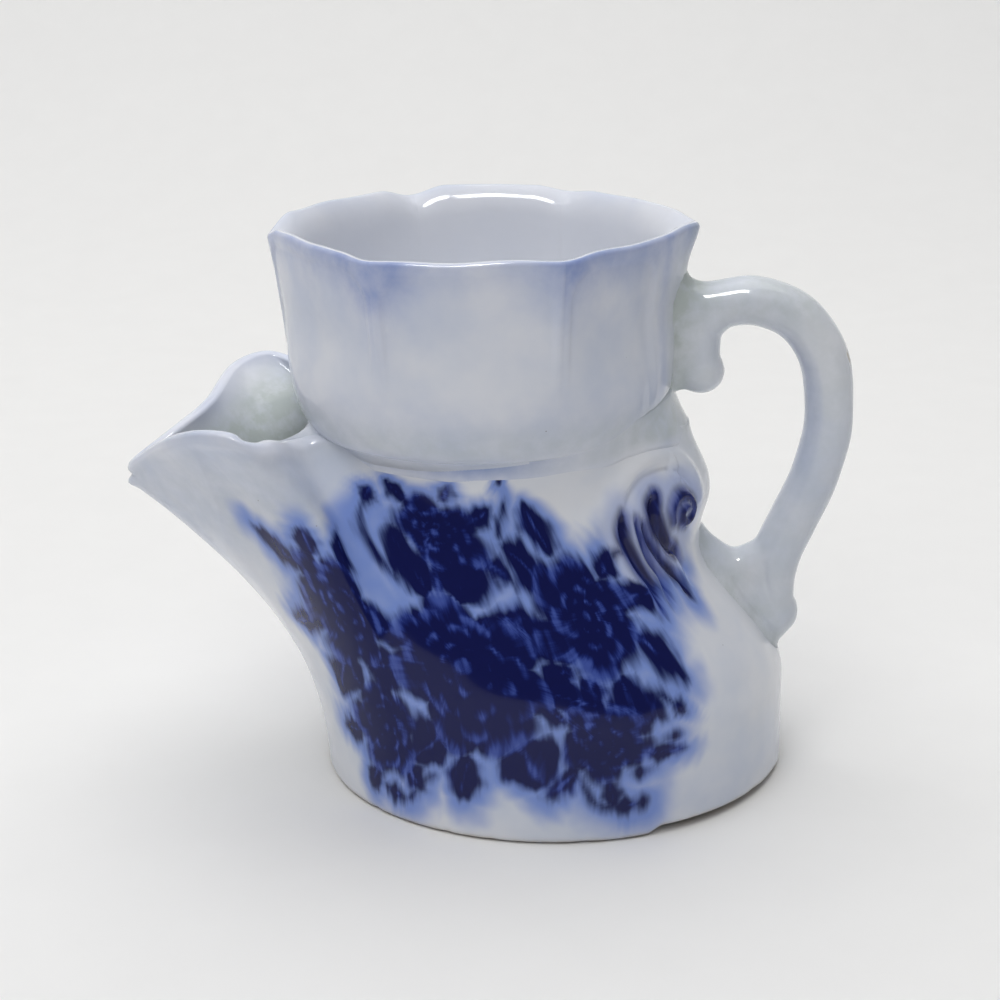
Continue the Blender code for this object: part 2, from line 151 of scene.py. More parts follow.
def addField(piece, name, values):  # a painted value on every vertex
    kind = "FLOAT" if values.ndim == 1 else "FLOAT_VECTOR"
    field = piece.data.attributes.new(name, kind, "POINT")
    field.data.foreach_set("value" if values.ndim == 1 else "vector", values.astype(np.float32).ravel())


def addSheet(name, columns, rows):  # a flat grid, with the column and row of each vertex
    clearSelection()
    bpy.ops.mesh.primitive_grid_add(x_subdivisions=columns, y_subdivisions=rows, size=1)
    piece = bpy.context.object
    piece.name = name
    flat = readPlaces(piece) * mm
    column = np.rint((flat[:, 0] + 0.5) * columns).astype(int)
    row = np.rint((flat[:, 1] + 0.5) * rows).astype(int)
    return piece, column, row


def halfSides(column, half):  # the front half's columns come first, then the back's in the other direction
    side = np.where(column <= half, -1.0, 1.0)
    return side, np.where(column <= half, column, 2 * half - column) / half


def closeSheet(piece):  # merges the seams of a rolled-up grid
    editAll(piece)
    bpy.ops.mesh.remove_doubles(threshold=seamGap * mm)
    bpy.ops.mesh.dissolve_degenerate(threshold=sliver * mm)
    faceOut()
    bpy.ops.object.shade_smooth()


def capEnds(piece):  # closes the open ends of a rolled-up grid
    editAll(piece)
    bpy.ops.mesh.select_all(action="DESELECT")
    bpy.ops.mesh.select_mode(type="EDGE")
    bpy.ops.mesh.select_non_manifold()
    bpy.ops.mesh.fill_holes(sides=0)
    bpy.ops.mesh.select_mode(type="VERT")
    faceOut()


def joinAll(pieces):
    clearSelection()
    for piece in pieces:
        piece.select_set(True)
    bpy.context.view_layer.objects.active = pieces[0]
    bpy.ops.object.join()
    return pieces[0]


def applyModifier(piece, name, kind, **settings):
    pick(piece)
    modifier = piece.modifiers.new(name, kind)
    for key, value in settings.items():
        setattr(modifier, key, value)
    bpy.ops.object.modifier_apply(modifier=modifier.name)


# camera at the photograph's place, in mm and degrees
cameraView = {
    "place": (23.39, -373.10, 177.21), "yaw": 3.131, "pitch": 17.896, "roll": -0.940,
    "lens": 67.16, "sensor": 36, "clip": 10,
}
bpy.ops.object.camera_add()
camera = bpy.context.object
camera.name = "photoCamera"
camera.data.sensor_width = cameraView["sensor"]
camera.data.lens = cameraView["lens"]
camera.data.clip_start = cameraView["clip"] * mm
turned = Matrix.Rotation(math.radians(cameraView["yaw"]), 4, "Z")
turned = turned @ Matrix.Rotation(math.radians(90 - cameraView["pitch"]), 4, "X")
turned = turned @ Matrix.Rotation(math.radians(cameraView["roll"]), 4, "Z")
camera.matrix_world = Matrix.Translation(Vector(cameraView["place"]) * mm) @ turned
bpy.context.scene.camera = camera
print("camera placed")


# upper bowl, in mm, with the same main sizes as its solid
bowl = {
    "middleX": -0.2, "seatHeight": 74.6, "seatRadius": 33, "rimRadius": 43.5, "height": 117,
    "wall": 3.4, "swell": 0.35, "panelBulge": 0.45, "floorTop": 79, "floorRadius": 30, "insidePanels": 0.75,
    "corners": (0, 65, 115, 180, 245, 295), "cornerRound": 2.6,  # degrees
    "roundTop": 6, "cornersFull": 26,  # above the seat
    "cornerDrop": (1.9, 1.3, 1.9, 3.5, 2.3, 2.5),  # how far the worn rim lies under the highest point
    "panelDrop": (0.7, 0.0, 0.4, 1.5, 2.4, 2.0), "dipHalf": 8.5,
    "cornerFlare": (1.5, 0.2, 0.2, 0.6, 0.3, 0.3), "flareHalf": 5, "flareDown": 9,
    "lipOut": 1.1, "lipIn": 6.5, "lipSplit": 0.35,  # the rim rolls over tightly outside and softly inside
    "rollTilts": (90, 60, 3), "rollRadii": (0.9, 7.0),
    "bevel": 2.2, "bevelDown": 11,  # extra wall under the rim
    "pilaster": (36, 2.6, 2.6, 2.6, 2.6, 2.6),  # the first one is the plain strip behind the handle
    "recess": 0.5, "edge": 0.9, "groove": (0.08, 0.1, 0.45), "shoulder": 6, "band": 2.6,
    "panelsEnd": (13, 24),  # the panels run out this far above the seat, and lower down beside the strip
    "stripShare": (0.35, 0.65), "stripDrop": (9, 14), "stripRise": (2, 10),
    "panelSteps": 60, "crowding": 0.075, "outerRows": 84, "rimRows": 22, "innerRows": 50,
    "outerPace": 1.5, "innerPace": 1.6,
    "uneven": 0.16, "unevenSizes": (31, 13), "unevenRim": 0.22, "unevenRimSize": 16, "rimStarts": (12, 4),
    # blue glaze: strength and reach at each corner and on each panel, then humps of (strength, middle, half);
    # the blue hump beside the plain strip is painted shade
    "cornerWash": (0.45, 0.4, 0.5, 0.3, 1.0, 0.35), "cornerRun": (9.0, 8, 8, 8, 9.5, 9), "cornerHalf": 7.5,
    "panelWash": (0.3, 0.3, 0.35, 0.62, 0.3, 0.6), "rimWash": ((0.7, 0, 5.5), (0.4, 0, 15)),
    "insideWash": 0.12, "insideRun": 9, "pilasterWash": (0.14, 0, 2.2), "pilasterRun": 26,
    "allWash": 0.08, "seatWash": (0.16, 6, 7), "stripShade": (0.34, -3.2, 2.6), "stripShadeRise": (2, 12),
    "handlePool": (0.9, 0, 9), "poolHeight": 92, "poolTall": 0.25, "seatPool": (0.45, 4, 4),
}
cornerAngles = np.radians(np.array(bowl["corners"] + (360,)))
panels = len(bowl["corners"])


def betweenCorners(angle):  # the panel, and the angles past its first corner and short of its second
    turn = np.mod(angle, 2 * np.pi)
    panel = np.clip(np.searchsorted(cornerAngles, turn, side="right") - 1, 0, panels - 1)
    return panel, turn - cornerAngles[panel], cornerAngles[panel + 1] - turn


def nearestCorner(angle):  # its number, and how far off it is along the rim
    panel, past, short = betweenCorners(angle)
    return np.where(past < short, panel, (panel + 1) % panels), np.minimum(past, short) * bowl["rimRadius"]


def roundPlace(angle, radius, z):  # a place round the bowl's axis
    return np.stack([bowl["middleX"] + radius * np.cos(angle), radius * np.sin(angle), z + 0 * angle], -1)


def bowlPlan(angle, height):
    _, past, short = betweenCorners(angle)
    span = (past + short) / 2
    toCorner = np.hypot(np.minimum(past, short), math.radians(bowl["cornerRound"]))
    straight = np.cos(span) / np.cos(span - toCorner)
    panelled = 1 - (1 - bowl["panelBulge"]) * (1 - straight)
    seat = bowl["seatHeight"]
    return mix(1, panelled, ease(seat + bowl["roundTop"], seat + bowl["cornersFull"], height))


def bowlOutside(angle, height):  # without the panel edges
    share = np.maximum(0, height - bowl["seatHeight"]) / (bowl["height"] - bowl["seatHeight"])
    return mix(bowl["seatRadius"], bowl["rimRadius"], share ** bowl["swell"]) * bowlPlan(angle, height)


def bowlInside(angle, height):
    share = np.maximum(0, height - bowl["floorTop"]) / (bowl["height"] - bowl["floorTop"])
    rim = bowl["rimRadius"] - bowl["wall"]
    plan = mix(1, bowlPlan(angle, height), bowl["insidePanels"] * share)
    return mix(bowl["floorRadius"], rim, share ** bowl["swell"]) * plan


def rimDrop(angle):
    panel, _, _ = betweenCorners(angle)
    corner, near = nearestCorner(angle)
    atCorner = np.array(bowl["cornerDrop"])[corner]
    return mix(atCorner, np.array(bowl["panelDrop"])[panel], ease(0, bowl["dipHalf"], near))


def rimFlare(angle, below):  # the rim runs out to a small point at some corners
    corner, near = nearestCorner(angle)
    out = np.array(bowl["cornerFlare"])[corner] * bell(near, bowl["flareHalf"])
    return out * ease(bowl["flareDown"], 0, below)


def panelDepth(angle, height, radius, top):  # mm inside the round-shouldered panel, below 0 on the pilaster
    panel, past, short = betweenCorners(angle)
    half = np.array(bowl["pilaster"] + bowl["pilaster"][:1]) / 2
    beside = np.minimum(past * radius - half[panel], short * radius - half[panel + 1])
    below = top - bowl["band"] - height
    shoulder = bowl["shoulder"]
    return shoulder - np.hypot(np.maximum(shoulder - beside, 0), np.maximum(shoulder - below, 0))


def softRoll(share, steps=200):  # across and down the inner rim: a tight turn at the crown, then a wide one
    start, change, end = bowl["rollTilts"]
    tilt = np.radians(np.linspace(start, end, steps))
    radius = np.where(tilt > np.radians(change), *bowl["rollRadii"])
    across = np.concatenate([[0], np.cumsum(radius[1:] * np.sin(tilt[1:]))])
    down = np.concatenate([[0], np.cumsum(radius[1:] * np.cos(tilt[1:]))])
    run = np.hypot(across, down)
    at = share * run[-1]
    return np.interp(at, run, across / across[-1]), np.interp(at, run, down / down[-1])


def bowlOuterWall(share, angle, top):
    b = bowl
    z = mix(b["seatHeight"], top - b["lipOut"], share ** b["outerPace"])
    radius = bowlOutside(angle, z)
    inset = panelDepth(angle, z, radius, top)
    up = z - b["seatHeight"]
    panel, past, short = betweenCorners(angle)
    last = panels - 1
    toStrip = ease(*b["stripShare"], np.where(panel == last, past, short) / (past + short))
    toStrip = toStrip * ((panel == 0) | (panel == last))
    fade = ease(*b["panelsEnd"], up + toStrip * mix(*b["stripDrop"], ease(*b["stripRise"], up)))
    r = radius - fade * b["recess"] * ease(0, b["edge"], inset)
    r = r - fade * touch(b["groove"], inset)
    return r + rimFlare(angle, top - z), z


def bowlInnerWall(share, angle, top):
    b = bowl
    z = mix(b["floorTop"], top - b["lipIn"], share ** b["innerPace"])
    r = bowlInside(angle, z) + rimFlare(angle, top - z)
    return r - b["bevel"] * bell(top - b["lipIn"] - z, b["bevelDown"]), z


def bowlRim(share, angle, top):  # rolls from the outer wall over to the inner one
    lipOut, lipIn, split = bowl["lipOut"], bowl["lipIn"], bowl["lipSplit"]
    crown = bowlOutside(angle, top - lipOut) + rimFlare(angle, lipOut) - lipOut
    reach = crown - (bowlInside(angle, top - lipIn) + rimFlare(angle, lipIn) - bowl["bevel"])
    swing = np.pi / 2 * np.clip(share / split, 0, 1)
    across, down = softRoll(np.clip((share - split) / (1 - split), 0, 1))
    r = np.where(share <= split, crown + lipOut * np.cos(swing), crown - reach * across)
    z = np.where(share <= split, top - lipOut + lipOut * np.sin(swing), top - lipIn * down)
    return r, z


def bowlUneven(places, angle, z):
    b = bowl
    push = b["uneven"] * twoWobbles(places, *b["unevenSizes"], 3)
    start, full = b["rimStarts"]
    lift = b["unevenRim"] * wobble(places * np.array([1, 1, 0]), b["unevenRimSize"], 5)
    moved = levelWay(angle) * push[:, None]
    moved[:, 2] += lift * ease(b["height"] - start, b["height"] - full, z)
    return moved


def paintBowl(piece, angle, r, z, top, outer):  # blue along the rim and corners, green-grey by the handle
    b = bowl
    panel, _, _ = betweenCorners(angle)
    corner, beside = nearestCorner(angle)
    below = np.maximum(top - z, 0)
    up = z - b["seatHeight"]
    face = np.array(b["panelWash"])[panel]  # each panel took the colour differently
    onFace = face * sum(touch(hump, below) for hump in b["rimWash"])
    wash = np.where(outer, onFace, b["insideWash"] * np.exp(-below / b["insideRun"]))
    run = np.array(b["cornerWash"])[corner] * bell(below, np.array(b["cornerRun"])[corner])
    wash = wash + outer * run * bell(beside, b["cornerHalf"])
    wash = wash + outer * touch(b["pilasterWash"], beside) * bell(below, b["pilasterRun"])
    wash = wash + outer * (b["allWash"] + touch(b["seatWash"], up))
    # painted shade: a blue band just inside the plain strip's edges, for the shade of its facet
    shadeBesideStrip = touch(b["stripShade"], beside - b["pilaster"][0] / 2)
    wash = wash + outer * (corner == 0) * shadeBesideStrip * ease(*b["stripShadeRise"], up)
    addField(piece, "blueWash", np.clip(wash, 0, 1))
    fromHandle = np.hypot(r * np.sin(angle), b["poolTall"] * (z - b["poolHeight"]))
    pool = outer * (touch(b["handlePool"], fromHandle) * (np.cos(angle) >= 0) + touch(b["seatPool"], up))
    addField(piece, "poolAndPaintedShade", np.clip(pool, 0, 1))


def makeBowl():
    b = bowl
    around = panels * b["panelSteps"]
    firstRim = b["outerRows"]
    lastRim = firstRim + b["rimRows"]
    bottomRow = lastRim + b["innerRows"] + 1
    piece, column, row = addSheet("soapBowl", around, bottomRow + 1)
    panel, part = np.divmod(column % around, b["panelSteps"])
    spread = part / b["panelSteps"]
    spread = spread - b["crowding"] * np.sin(2 * np.pi * spread)  # closer columns at the pilasters
    angle = mix(cornerAngles[panel], cornerAngles[panel + 1], spread)
    top = b["height"] - rimDrop(angle)
    outerR, outerZ = bowlOuterWall(np.clip(row / firstRim, 0, 1), angle, top)
    rimR, rimZ = bowlRim(np.clip((row - firstRim) / b["rimRows"], 0, 1), angle, top)
    innerR, innerZ = bowlInnerWall(1 - np.clip((row - lastRim) / b["innerRows"], 0, 1), angle, top)
    sections = [row <= firstRim, row < lastRim, row < bottomRow, row == bottomRow]
    r = np.select(sections, [outerR, rimR, innerR, b["floorRadius"]], b["seatRadius"])
    z = np.select(sections, [outerZ, rimZ, innerZ, b["seatHeight"]], b["seatHeight"])
    places = roundPlace(angle, r, z)
    paintBowl(piece, angle, r, z, top, row <= firstRim + b["rimRows"] // 4)
    # painted light: the bowl's inner wall and the inside of its rim are painted whiter, with little cool tint
    addField(piece, "paintedLightInside", ease(firstRim, lastRim, row) * (row < bottomRow))
    writePlaces(piece, places + bowlUneven(places, angle, z))
    closeSheet(piece)
    return piece


# water chamber, in mm: a loft from the oval foot up to the rim, the spout and the collar
# a turn runs from 0 at the spout's tip to 9 at the handle, and a rise from 0 at the foot to 1 at the rim
chamber = {
    "tipX": -75.2, "tipHeight": 64.5, "beakLength": 14.5, "beakHalf": 14, "beakRise": 9.4,
    "earHalf": 35.5, "earHeight": 79.8, "earLength": 14, "earSlope": 1.6,
    "footX": 13.9, "footLength": 98, "footWidth": 90.6,
    "wall": 4.2, "lipWall": 2.6, "collarRadius": 41.8, "collarClimb": 3.4,
    "neckFlare": 3, "neckPinch": 0.5, "neckLift": 2, "neckStart": 0.25, "neckShort": 0.28, "neckTurn": 7,
    "nearLip": [(-71.1, 6, 67.9), (-64.6, 15.5, 73.2), (-56.5, 26, 77.8),  # the worn near side of the spout
                (-48.2, 33, 79.4), (-40.9, 31.5, 77), (-30.6, 19.7, 75.8)],
    "flank": [(-69, 7.2), (-61.8, 14.8), (-54.6, 22.2), (-47.2, 27.6), (-39.2, 28.4), (-28.6, 23.2)],
    "farFlank": [(-69, 7.4), (-62.3, 17), (-55.5, 25.6), (-47.5, 28), (-39.2, 28), (-28.6, 23.2)],
    "flankRise": (0.80, 1.0), "flankTurn": (6, 7), "spoutTurn": (5, 7),
    "keelRound": 1.7, "keelRise": (0.55, 1), "keelTurn": (0.3, 3),
    "lipNose": 0.0625, "noseTurn": (0.5, 3), "flare": 2.0, "tipRound": 0.0006,
    "saddle": (2.2, 5.72, 0.3),  # the lip dips where it nears the bowl
    "saddleLip": (2.4, 5.6, 0.45), "saddleRise": (0.9, 1),  # and is thicker there
    "footArch": (1.375, 1.155), "archRun": (7.4, 8.6), "archStart": (7.47, 7.55), "archEnd": (8.5, 8.8),
    "bulge": 5.4, "bulgeHeight": 60, "bulgeSpread": 7, "bulgeTurn": (7.2, 8.6),
    "lipRise": (0.75, 1), "lipClimb": 0.42, "climbEnd": (5.9, 6.2), "climbLoss": 0.9, "undercut": 0.75,
    "seamShare": 0.25, "bead": (0.55, 1.0, 1.2), "beadEnd": (5.0, 5.8),
    "funnel": (1.6, 0.84, 0.09), "funnelEnd": (4.6, 6),
    "creaseTurn": 5.9, "tuck": 0.012, "handleTuck": 0.05, "tuckTurn": (8.3, 8.9),
    "lipRun": 72, "neckRun": 76,  # length of the wall from foot to lip, and from foot to neck
    "reliefEnd": (0, 0.02), "reliefLeft": 0.004,  # the moulding runs out just under the neck
    "footRound": 1.0, "uneven": 0.14, "unevenSizes": (37, 15), "unevenFoot": (0, 6), "unevenLip": (0, 3),
    "chips": ((0.5, 6.1, 0.05), (0.35, 6.55, 0.04), (0.5, 7.15, 0.05),  # depth, turn and half width
              (0.7, 7.5, 0.04), (0.6, 4.2, 0.12), (0.4, 8.2, 0.06)),
    "drip": (0.9, 61, 0.85), "dripHalf": 0.35, "dripNotch": (0.5, 62.7, 0.7), "notchHalf": 0.5,
    "columns": 272, "outerRows": 128, "lipRows": 10, "innerRows": 22, "footRows": 3,
    "evenPace": 14, "scrollPace": 22, "scrollTurn": (7.6, 8.8),  # columns lie closer at the scroll
    # glaze: blue along the lip, the spout's sides and the foot, green-grey in the joints; painted shade in
    # green-grey on the spout's sides under the lip, and green-grey in the throat that is pooled glaze and
    # painted shade
    "spoutEnd": (5, 6.5), "lipWash": 0.22, "lipWashRun": 3.5,
    "sideWash": 0.26, "sideFrom": (0.5, 3), "sideHeight": (36, 58),
    "footWash": (0.08, 6, 7), "washTurn": (6, 7.5),
    "sideShade": 0.28, "sideShadeHeight": (40, 58), "throatPoolAndShade": 1.4, "throatFrom": (0.5, 7),
    "neckPool": (0.25, 0, 3.4), "handlePool": (0.25, 0.6), "handlePoolHeight": (58, 74), "handleHalf": 9,
    "bareFoot": (0.9, 0, 0.8), "inkStop": (9, 0, 6), "inkStopReach": (-2, 3),
}


def roundBowl(turn, radius, lift):
    angle = math.radians(turn)
    return (
        bowl["middleX"] - radius * math.cos(angle),
        radius * math.sin(angle),
        bowl["seatHeight"] + lift,
    )


def rimKeys():  # x, y, z and the foot angle below, from the spout tip round to the handle
    c = chamber
    ear = c["tipX"] + c["beakLength"] + 0.25 * c["earLength"]
    beakTop = c["tipHeight"] + c["beakRise"]
    seat = bowl["seatRadius"]
    keys = [
        (c["tipX"], 0, c["tipHeight"], 0),
        (c["tipX"] + 0.58 * c["beakLength"], 0.42 * c["beakHalf"], mix(c["tipHeight"], beakTop, 0.64), 9),
        (c["tipX"] + c["beakLength"] - 0.9, c["beakHalf"] + 1.6, beakTop, 20),
        (ear - 1.35, 0.82 * c["earHalf"], c["earHeight"] - c["earSlope"], 33),
        (ear + 0.42 * c["earLength"], c["earHalf"], c["earHeight"], 42),
        (ear + 1.05 * c["earLength"], 0.92 * c["earHalf"], c["earHeight"] - c["earSlope"], 51),
        (*c["nearLip"][-1], 63),
        (*roundBowl(90, seat - c["neckPinch"], c["neckLift"]), 92),
        (*roundBowl(138, seat + c["neckFlare"], c["neckLift"]), 140),
        (bowl["middleX"] + c["collarRadius"], 0, bowl["seatHeight"] + c["collarClimb"], 180),
    ]
    first = (keys[1][0], -keys[1][1], keys[1][2], -keys[1][3])
    last = (keys[8][0], -keys[8][1], keys[8][2], 360 - keys[8][3])
    return np.array([first, *keys, last], float)


def withLine(points):  # the rim's table with the spout's own line in place of its first keys
    table = rimTable.copy()
    line = np.array(points, float)
    table[2:8, :line.shape[1]] = line
    table[0, :line.shape[1]] = line[0]
    table[0, 1] = -line[0, 1]
    return table


rimTable = rimKeys()
lastTurn = len(rimTable) - 3
nearTable = withLine(chamber["nearLip"])
nearFlank = withLine(chamber["flank"])  # below the lip the spout's sides are smoother
farFlank = withLine(chamber["farFlank"])
wallRun = np.array([0, 8, 17, 27.7, 35.7, 43.7, 55.7, 81.7, 121.7, 155.7])  # mm along the wall at each turn


def alongRim(table, turn):
    first = np.minimum(np.floor(turn).astype(int), lastTurn - 1)
    t = (turn - first)[..., None]
    return np.moveaxis(throughPoints(*(table[first + k] for k in range(4)), t), -1, 0)


def chamberOutside(turn, rise, side):
    c = chamber
    x, y, top, angle = np.where(side < 0, alongRim(nearTable, turn), alongRim(rimTable, turn))
    top = top - touch(c["saddle"], turn)
    flankX, flankY, _, _ = np.where(side < 0, alongRim(nearFlank, turn), alongRim(farFlank, turn))
    fill = (1 - ease(*c["flankRise"], rise)) * (1 - ease(*c["flankTurn"], turn))
    x = mix(x, flankX, fill)
    y = mix(y, flankY, fill)
    y = y * mix(c["keelRound"], 1, np.maximum(ease(*c["keelRise"], rise), ease(*c["keelTurn"], turn)))
    footX = c["footX"] - c["footLength"] / 2 * np.cos(np.radians(angle))
    footY = c["footWidth"] / 2 * np.sin(np.radians(angle))
    neck = ease(c["neckStart"], 1 - c["neckShort"] * ease(c["neckTurn"], lastTurn, turn), rise)
    nose = 1 - c["lipNose"] * (1 - ease(*c["noseTurn"], turn))
    gone = 1 - (rise / nose) ** c["flare"]
    beak = 1 - (gone + np.sqrt(gone**2 + c["tipRound"])) / 2  # rounds the tip's underside
    lean = mix(beak, neck, ease(*c["spoutTurn"], turn))
    px = mix(footX, x, lean)
    py = mix(footY, y, lean)
    lift = mix(*c["footArch"], ease(*c["archRun"], turn))
    lift = lift * ease(*c["archStart"], turn) * (1 - ease(*c["archEnd"], turn))
    pz = mix(lift, top, rise)
    swell = c["bulge"] * np.exp(-0.5 * ((pz - c["bulgeHeight"]) / c["bulgeSpread"]) ** 2)
    swell = swell * ease(*c["bulgeTurn"], turn)
    away = np.arctan2(py, px - bowl["middleX"])
    return np.stack([px + swell * np.cos(away), py + swell * np.sin(away), pz], -1)


def chamberNormal(turn, rise, side, turnStep=0.15, riseStep=0.02):  # outward, and the way up the wall
    highTurn, lowTurn = np.minimum(lastTurn, turn + turnStep), np.maximum(0, turn - turnStep)
    highRise, lowRise = np.minimum(1, rise + riseStep), np.maximum(0, rise - riseStep)
    along = chamberOutside(highTurn, rise, side) - chamberOutside(lowTurn, rise, side)
    end = (turn < 1e-6) | (turn > lastTurn - 1e-6)
    along[end] = np.where(turn[end] < 1, 1, -1)[:, None] * np.array([0, 1.0, 0])
    upward = chamberOutside(turn, highRise, side) - chamberOutside(turn, lowRise, side)
    return unit(np.cross(upward, along)), unit(upward)


def creaseRise(turn, side, start=0.6, halvings=24):  # how far up the chamber runs before it meets the bowl
    low, high = np.full_like(turn, start), np.ones_like(turn)
    for _ in range(halvings):
        rise = (low + high) / 2
        p = chamberOutside(turn, rise, side)
        angle = np.arctan2(p[..., 1], p[..., 0] - bowl["middleX"])
        reach = np.hypot(p[..., 0] - bowl["middleX"], p[..., 1])
        inside = (p[..., 2] > bowl["seatHeight"]) & (reach < bowlOutside(angle, p[..., 2]))
        high, low = np.where(inside, rise, high), np.where(inside, low, rise)
    return high


# moulded scroll beside the handle, drawn on the unrolled wall as (turn, height)
scroll = {
    "stretch": 35,  # mm along the wall for one turn
    "arch": [(7.30, 59.8), (7.60, 60.8), (7.84, 63.6), (7.97, 66.8), (8.10, 69.6), (8.26, 71.2),
             (8.42, 71.2), (8.54, 69.6), (8.63, 66.0), (8.66, 61.5)],
    "archGroove": [(7.98, 61.2), (8.03, 65.0), (8.13, 67.8), (8.26, 69.0), (8.40, 68.6), (8.52, 66.4),
                   (8.58, 62.0)],
    "outerLeaf": [(7.95, 62.0), (7.88, 57.7), (7.88, 52.2), (7.90, 47.5), (7.84, 42.6)],
    "middleLeaf": [(8.05, 60.6), (8.03, 58.0), (8.01, 52.8), (8.03, 48.7), (7.97, 44.2)],
    "innerLeaf": [(8.09, 59.5), (8.09, 55.0), (8.13, 50.6), (8.20, 46.7), (8.19, 43.6)],
    "throat": [(8.24, 64.4), (8.19, 61.5), (8.20, 57.5), (8.25, 53.6), (8.34, 51.6), (8.36, 48.4),
               (8.32, 45.6)],
    "curlMiddle": (8.445, 59.6), "curlRadius": 4.0, "curlTurns": 1.4, "curlShrink": 0.8, "curlStart": 200,
    "crest": (8.46, 67.8), "crestHalf": (1.7, 3.4), "crestOut": 0.75, "crestEdge": (0.55, 1.15),
    "area": (7.0, 36, 80),  # first turn, lowest and highest place
    "archRidge": (1.15, 0, 2.3), "archCut": (0.7, 0, 0.8),  # ridges stand out and cuts go in, by mm
    "cuts": {"outerLeaf": 0.75, "middleLeaf": 0.5, "innerLeaf": 0.8, "throat": 0.9}, "cutHalf": 0.75,
    "leafSlope": (0.3, 2.2), "leafHalf": 4.2, "leafFoot": (41, 48),
    "curlRidge": (0.8, 1.3), "curlHalf": 0.85, "curlDome": (0.8, 0, 4.2),
}


def flatOf(turn, height):
    return np.stack([turn * scroll["stretch"], height], -1)


def scrollSpot(name):
    return flatOf(*scroll[name])


def smoothPath(points, steps=14):  # a soft line through a few given points
    p = np.array([points[0], *points, points[-1]], float)
    line = []
    for k in range(1, len(p) - 2):
        for t in np.linspace(0, 1, steps, endpoint=False):
            line.append(throughPoints(*p[k - 1:k + 3], t))
    line.append(p[-1])
    return np.array(line)


def lineDistance(flat, line):  # distance of each point to a line, and how far along it lies
    best = np.full(len(flat), 1e6)
    along = np.zeros(len(flat))
    for k in range(len(line) - 1):
        a, b = line[k], line[k + 1]
        run = b - a
        t = np.clip(((flat - a) @ run) / max(run @ run, 1e-9), 0, 1)
        gap = np.linalg.norm(flat - (a + t[:, None] * run), axis=1)
        closer = gap < best
        best = np.where(closer, gap, best)
        along = np.where(closer, (k + t) / (len(line) - 1), along)
    return best, along


def scrollLine(name):
    points = np.array(scroll[name], float)
    points[:, 0] *= scroll["stretch"]
    return smoothPath(points)


def curlLine(steps=60):
    turn = np.linspace(0, 2 * np.pi * scroll["curlTurns"], steps)
    radius = scroll["curlRadius"] * (1 - scroll["curlShrink"] * turn / turn[-1])
    way = np.radians(scroll["curlStart"]) - turn
    return scrollSpot("curlMiddle") + np.stack([radius * np.cos(way), radius * np.sin(way)], -1)


def scrollRelief(turn, height):  # mm that the moulding stands out of the wall
    s = scroll
    firstTurn, low, high = s["area"]
    near = (turn > firstTurn) & (height > low) & (height < high)
    spot = flatOf(turn, height)[near]
    gap, along = lineDistance(spot, scrollLine("arch"))
    out = touch(s["archRidge"], gap) * ease(0, 0.2, along) * (1 - 0.6 * ease(0.85, 1, along))
    gap, along = lineDistance(spot, scrollLine("archGroove"))
    out -= touch(s["archCut"], gap) * ease(0, 0.15, along) * (1 - ease(0.85, 1, along))
    gaps = {}
    for name, depth in s["cuts"].items():
        gap, along = lineDistance(spot, scrollLine(name))
        gaps[name] = gap
        out -= depth * bell(gap, s["cutHalf"]) * (1 - ease(0.7, 1, along)) * ease(0, 0.08, along)
    leaf = ease(*s["leafSlope"], np.minimum.reduce(list(gaps.values())))
    inLeaf = bell(np.minimum(gaps["middleLeaf"], gaps["innerLeaf"]), s["leafHalf"])
    out += leaf * inLeaf * ease(*s["leafFoot"], spot[:, 1])
    gap, along = lineDistance(spot, curlLine())
    out += mix(*s["curlRidge"], along) * bell(gap, s["curlHalf"])
    out += touch(s["curlDome"], np.linalg.norm(spot - scrollSpot("curlMiddle"), axis=1))
    away = np.abs(spot - scrollSpot("crest")) / np.array(s["crestHalf"])
    out += s["crestOut"] * (1 - ease(*s["crestEdge"], away[:, 0] + away[:, 1]))
    relief = np.zeros(len(turn))
    relief[near] = out
    return relief


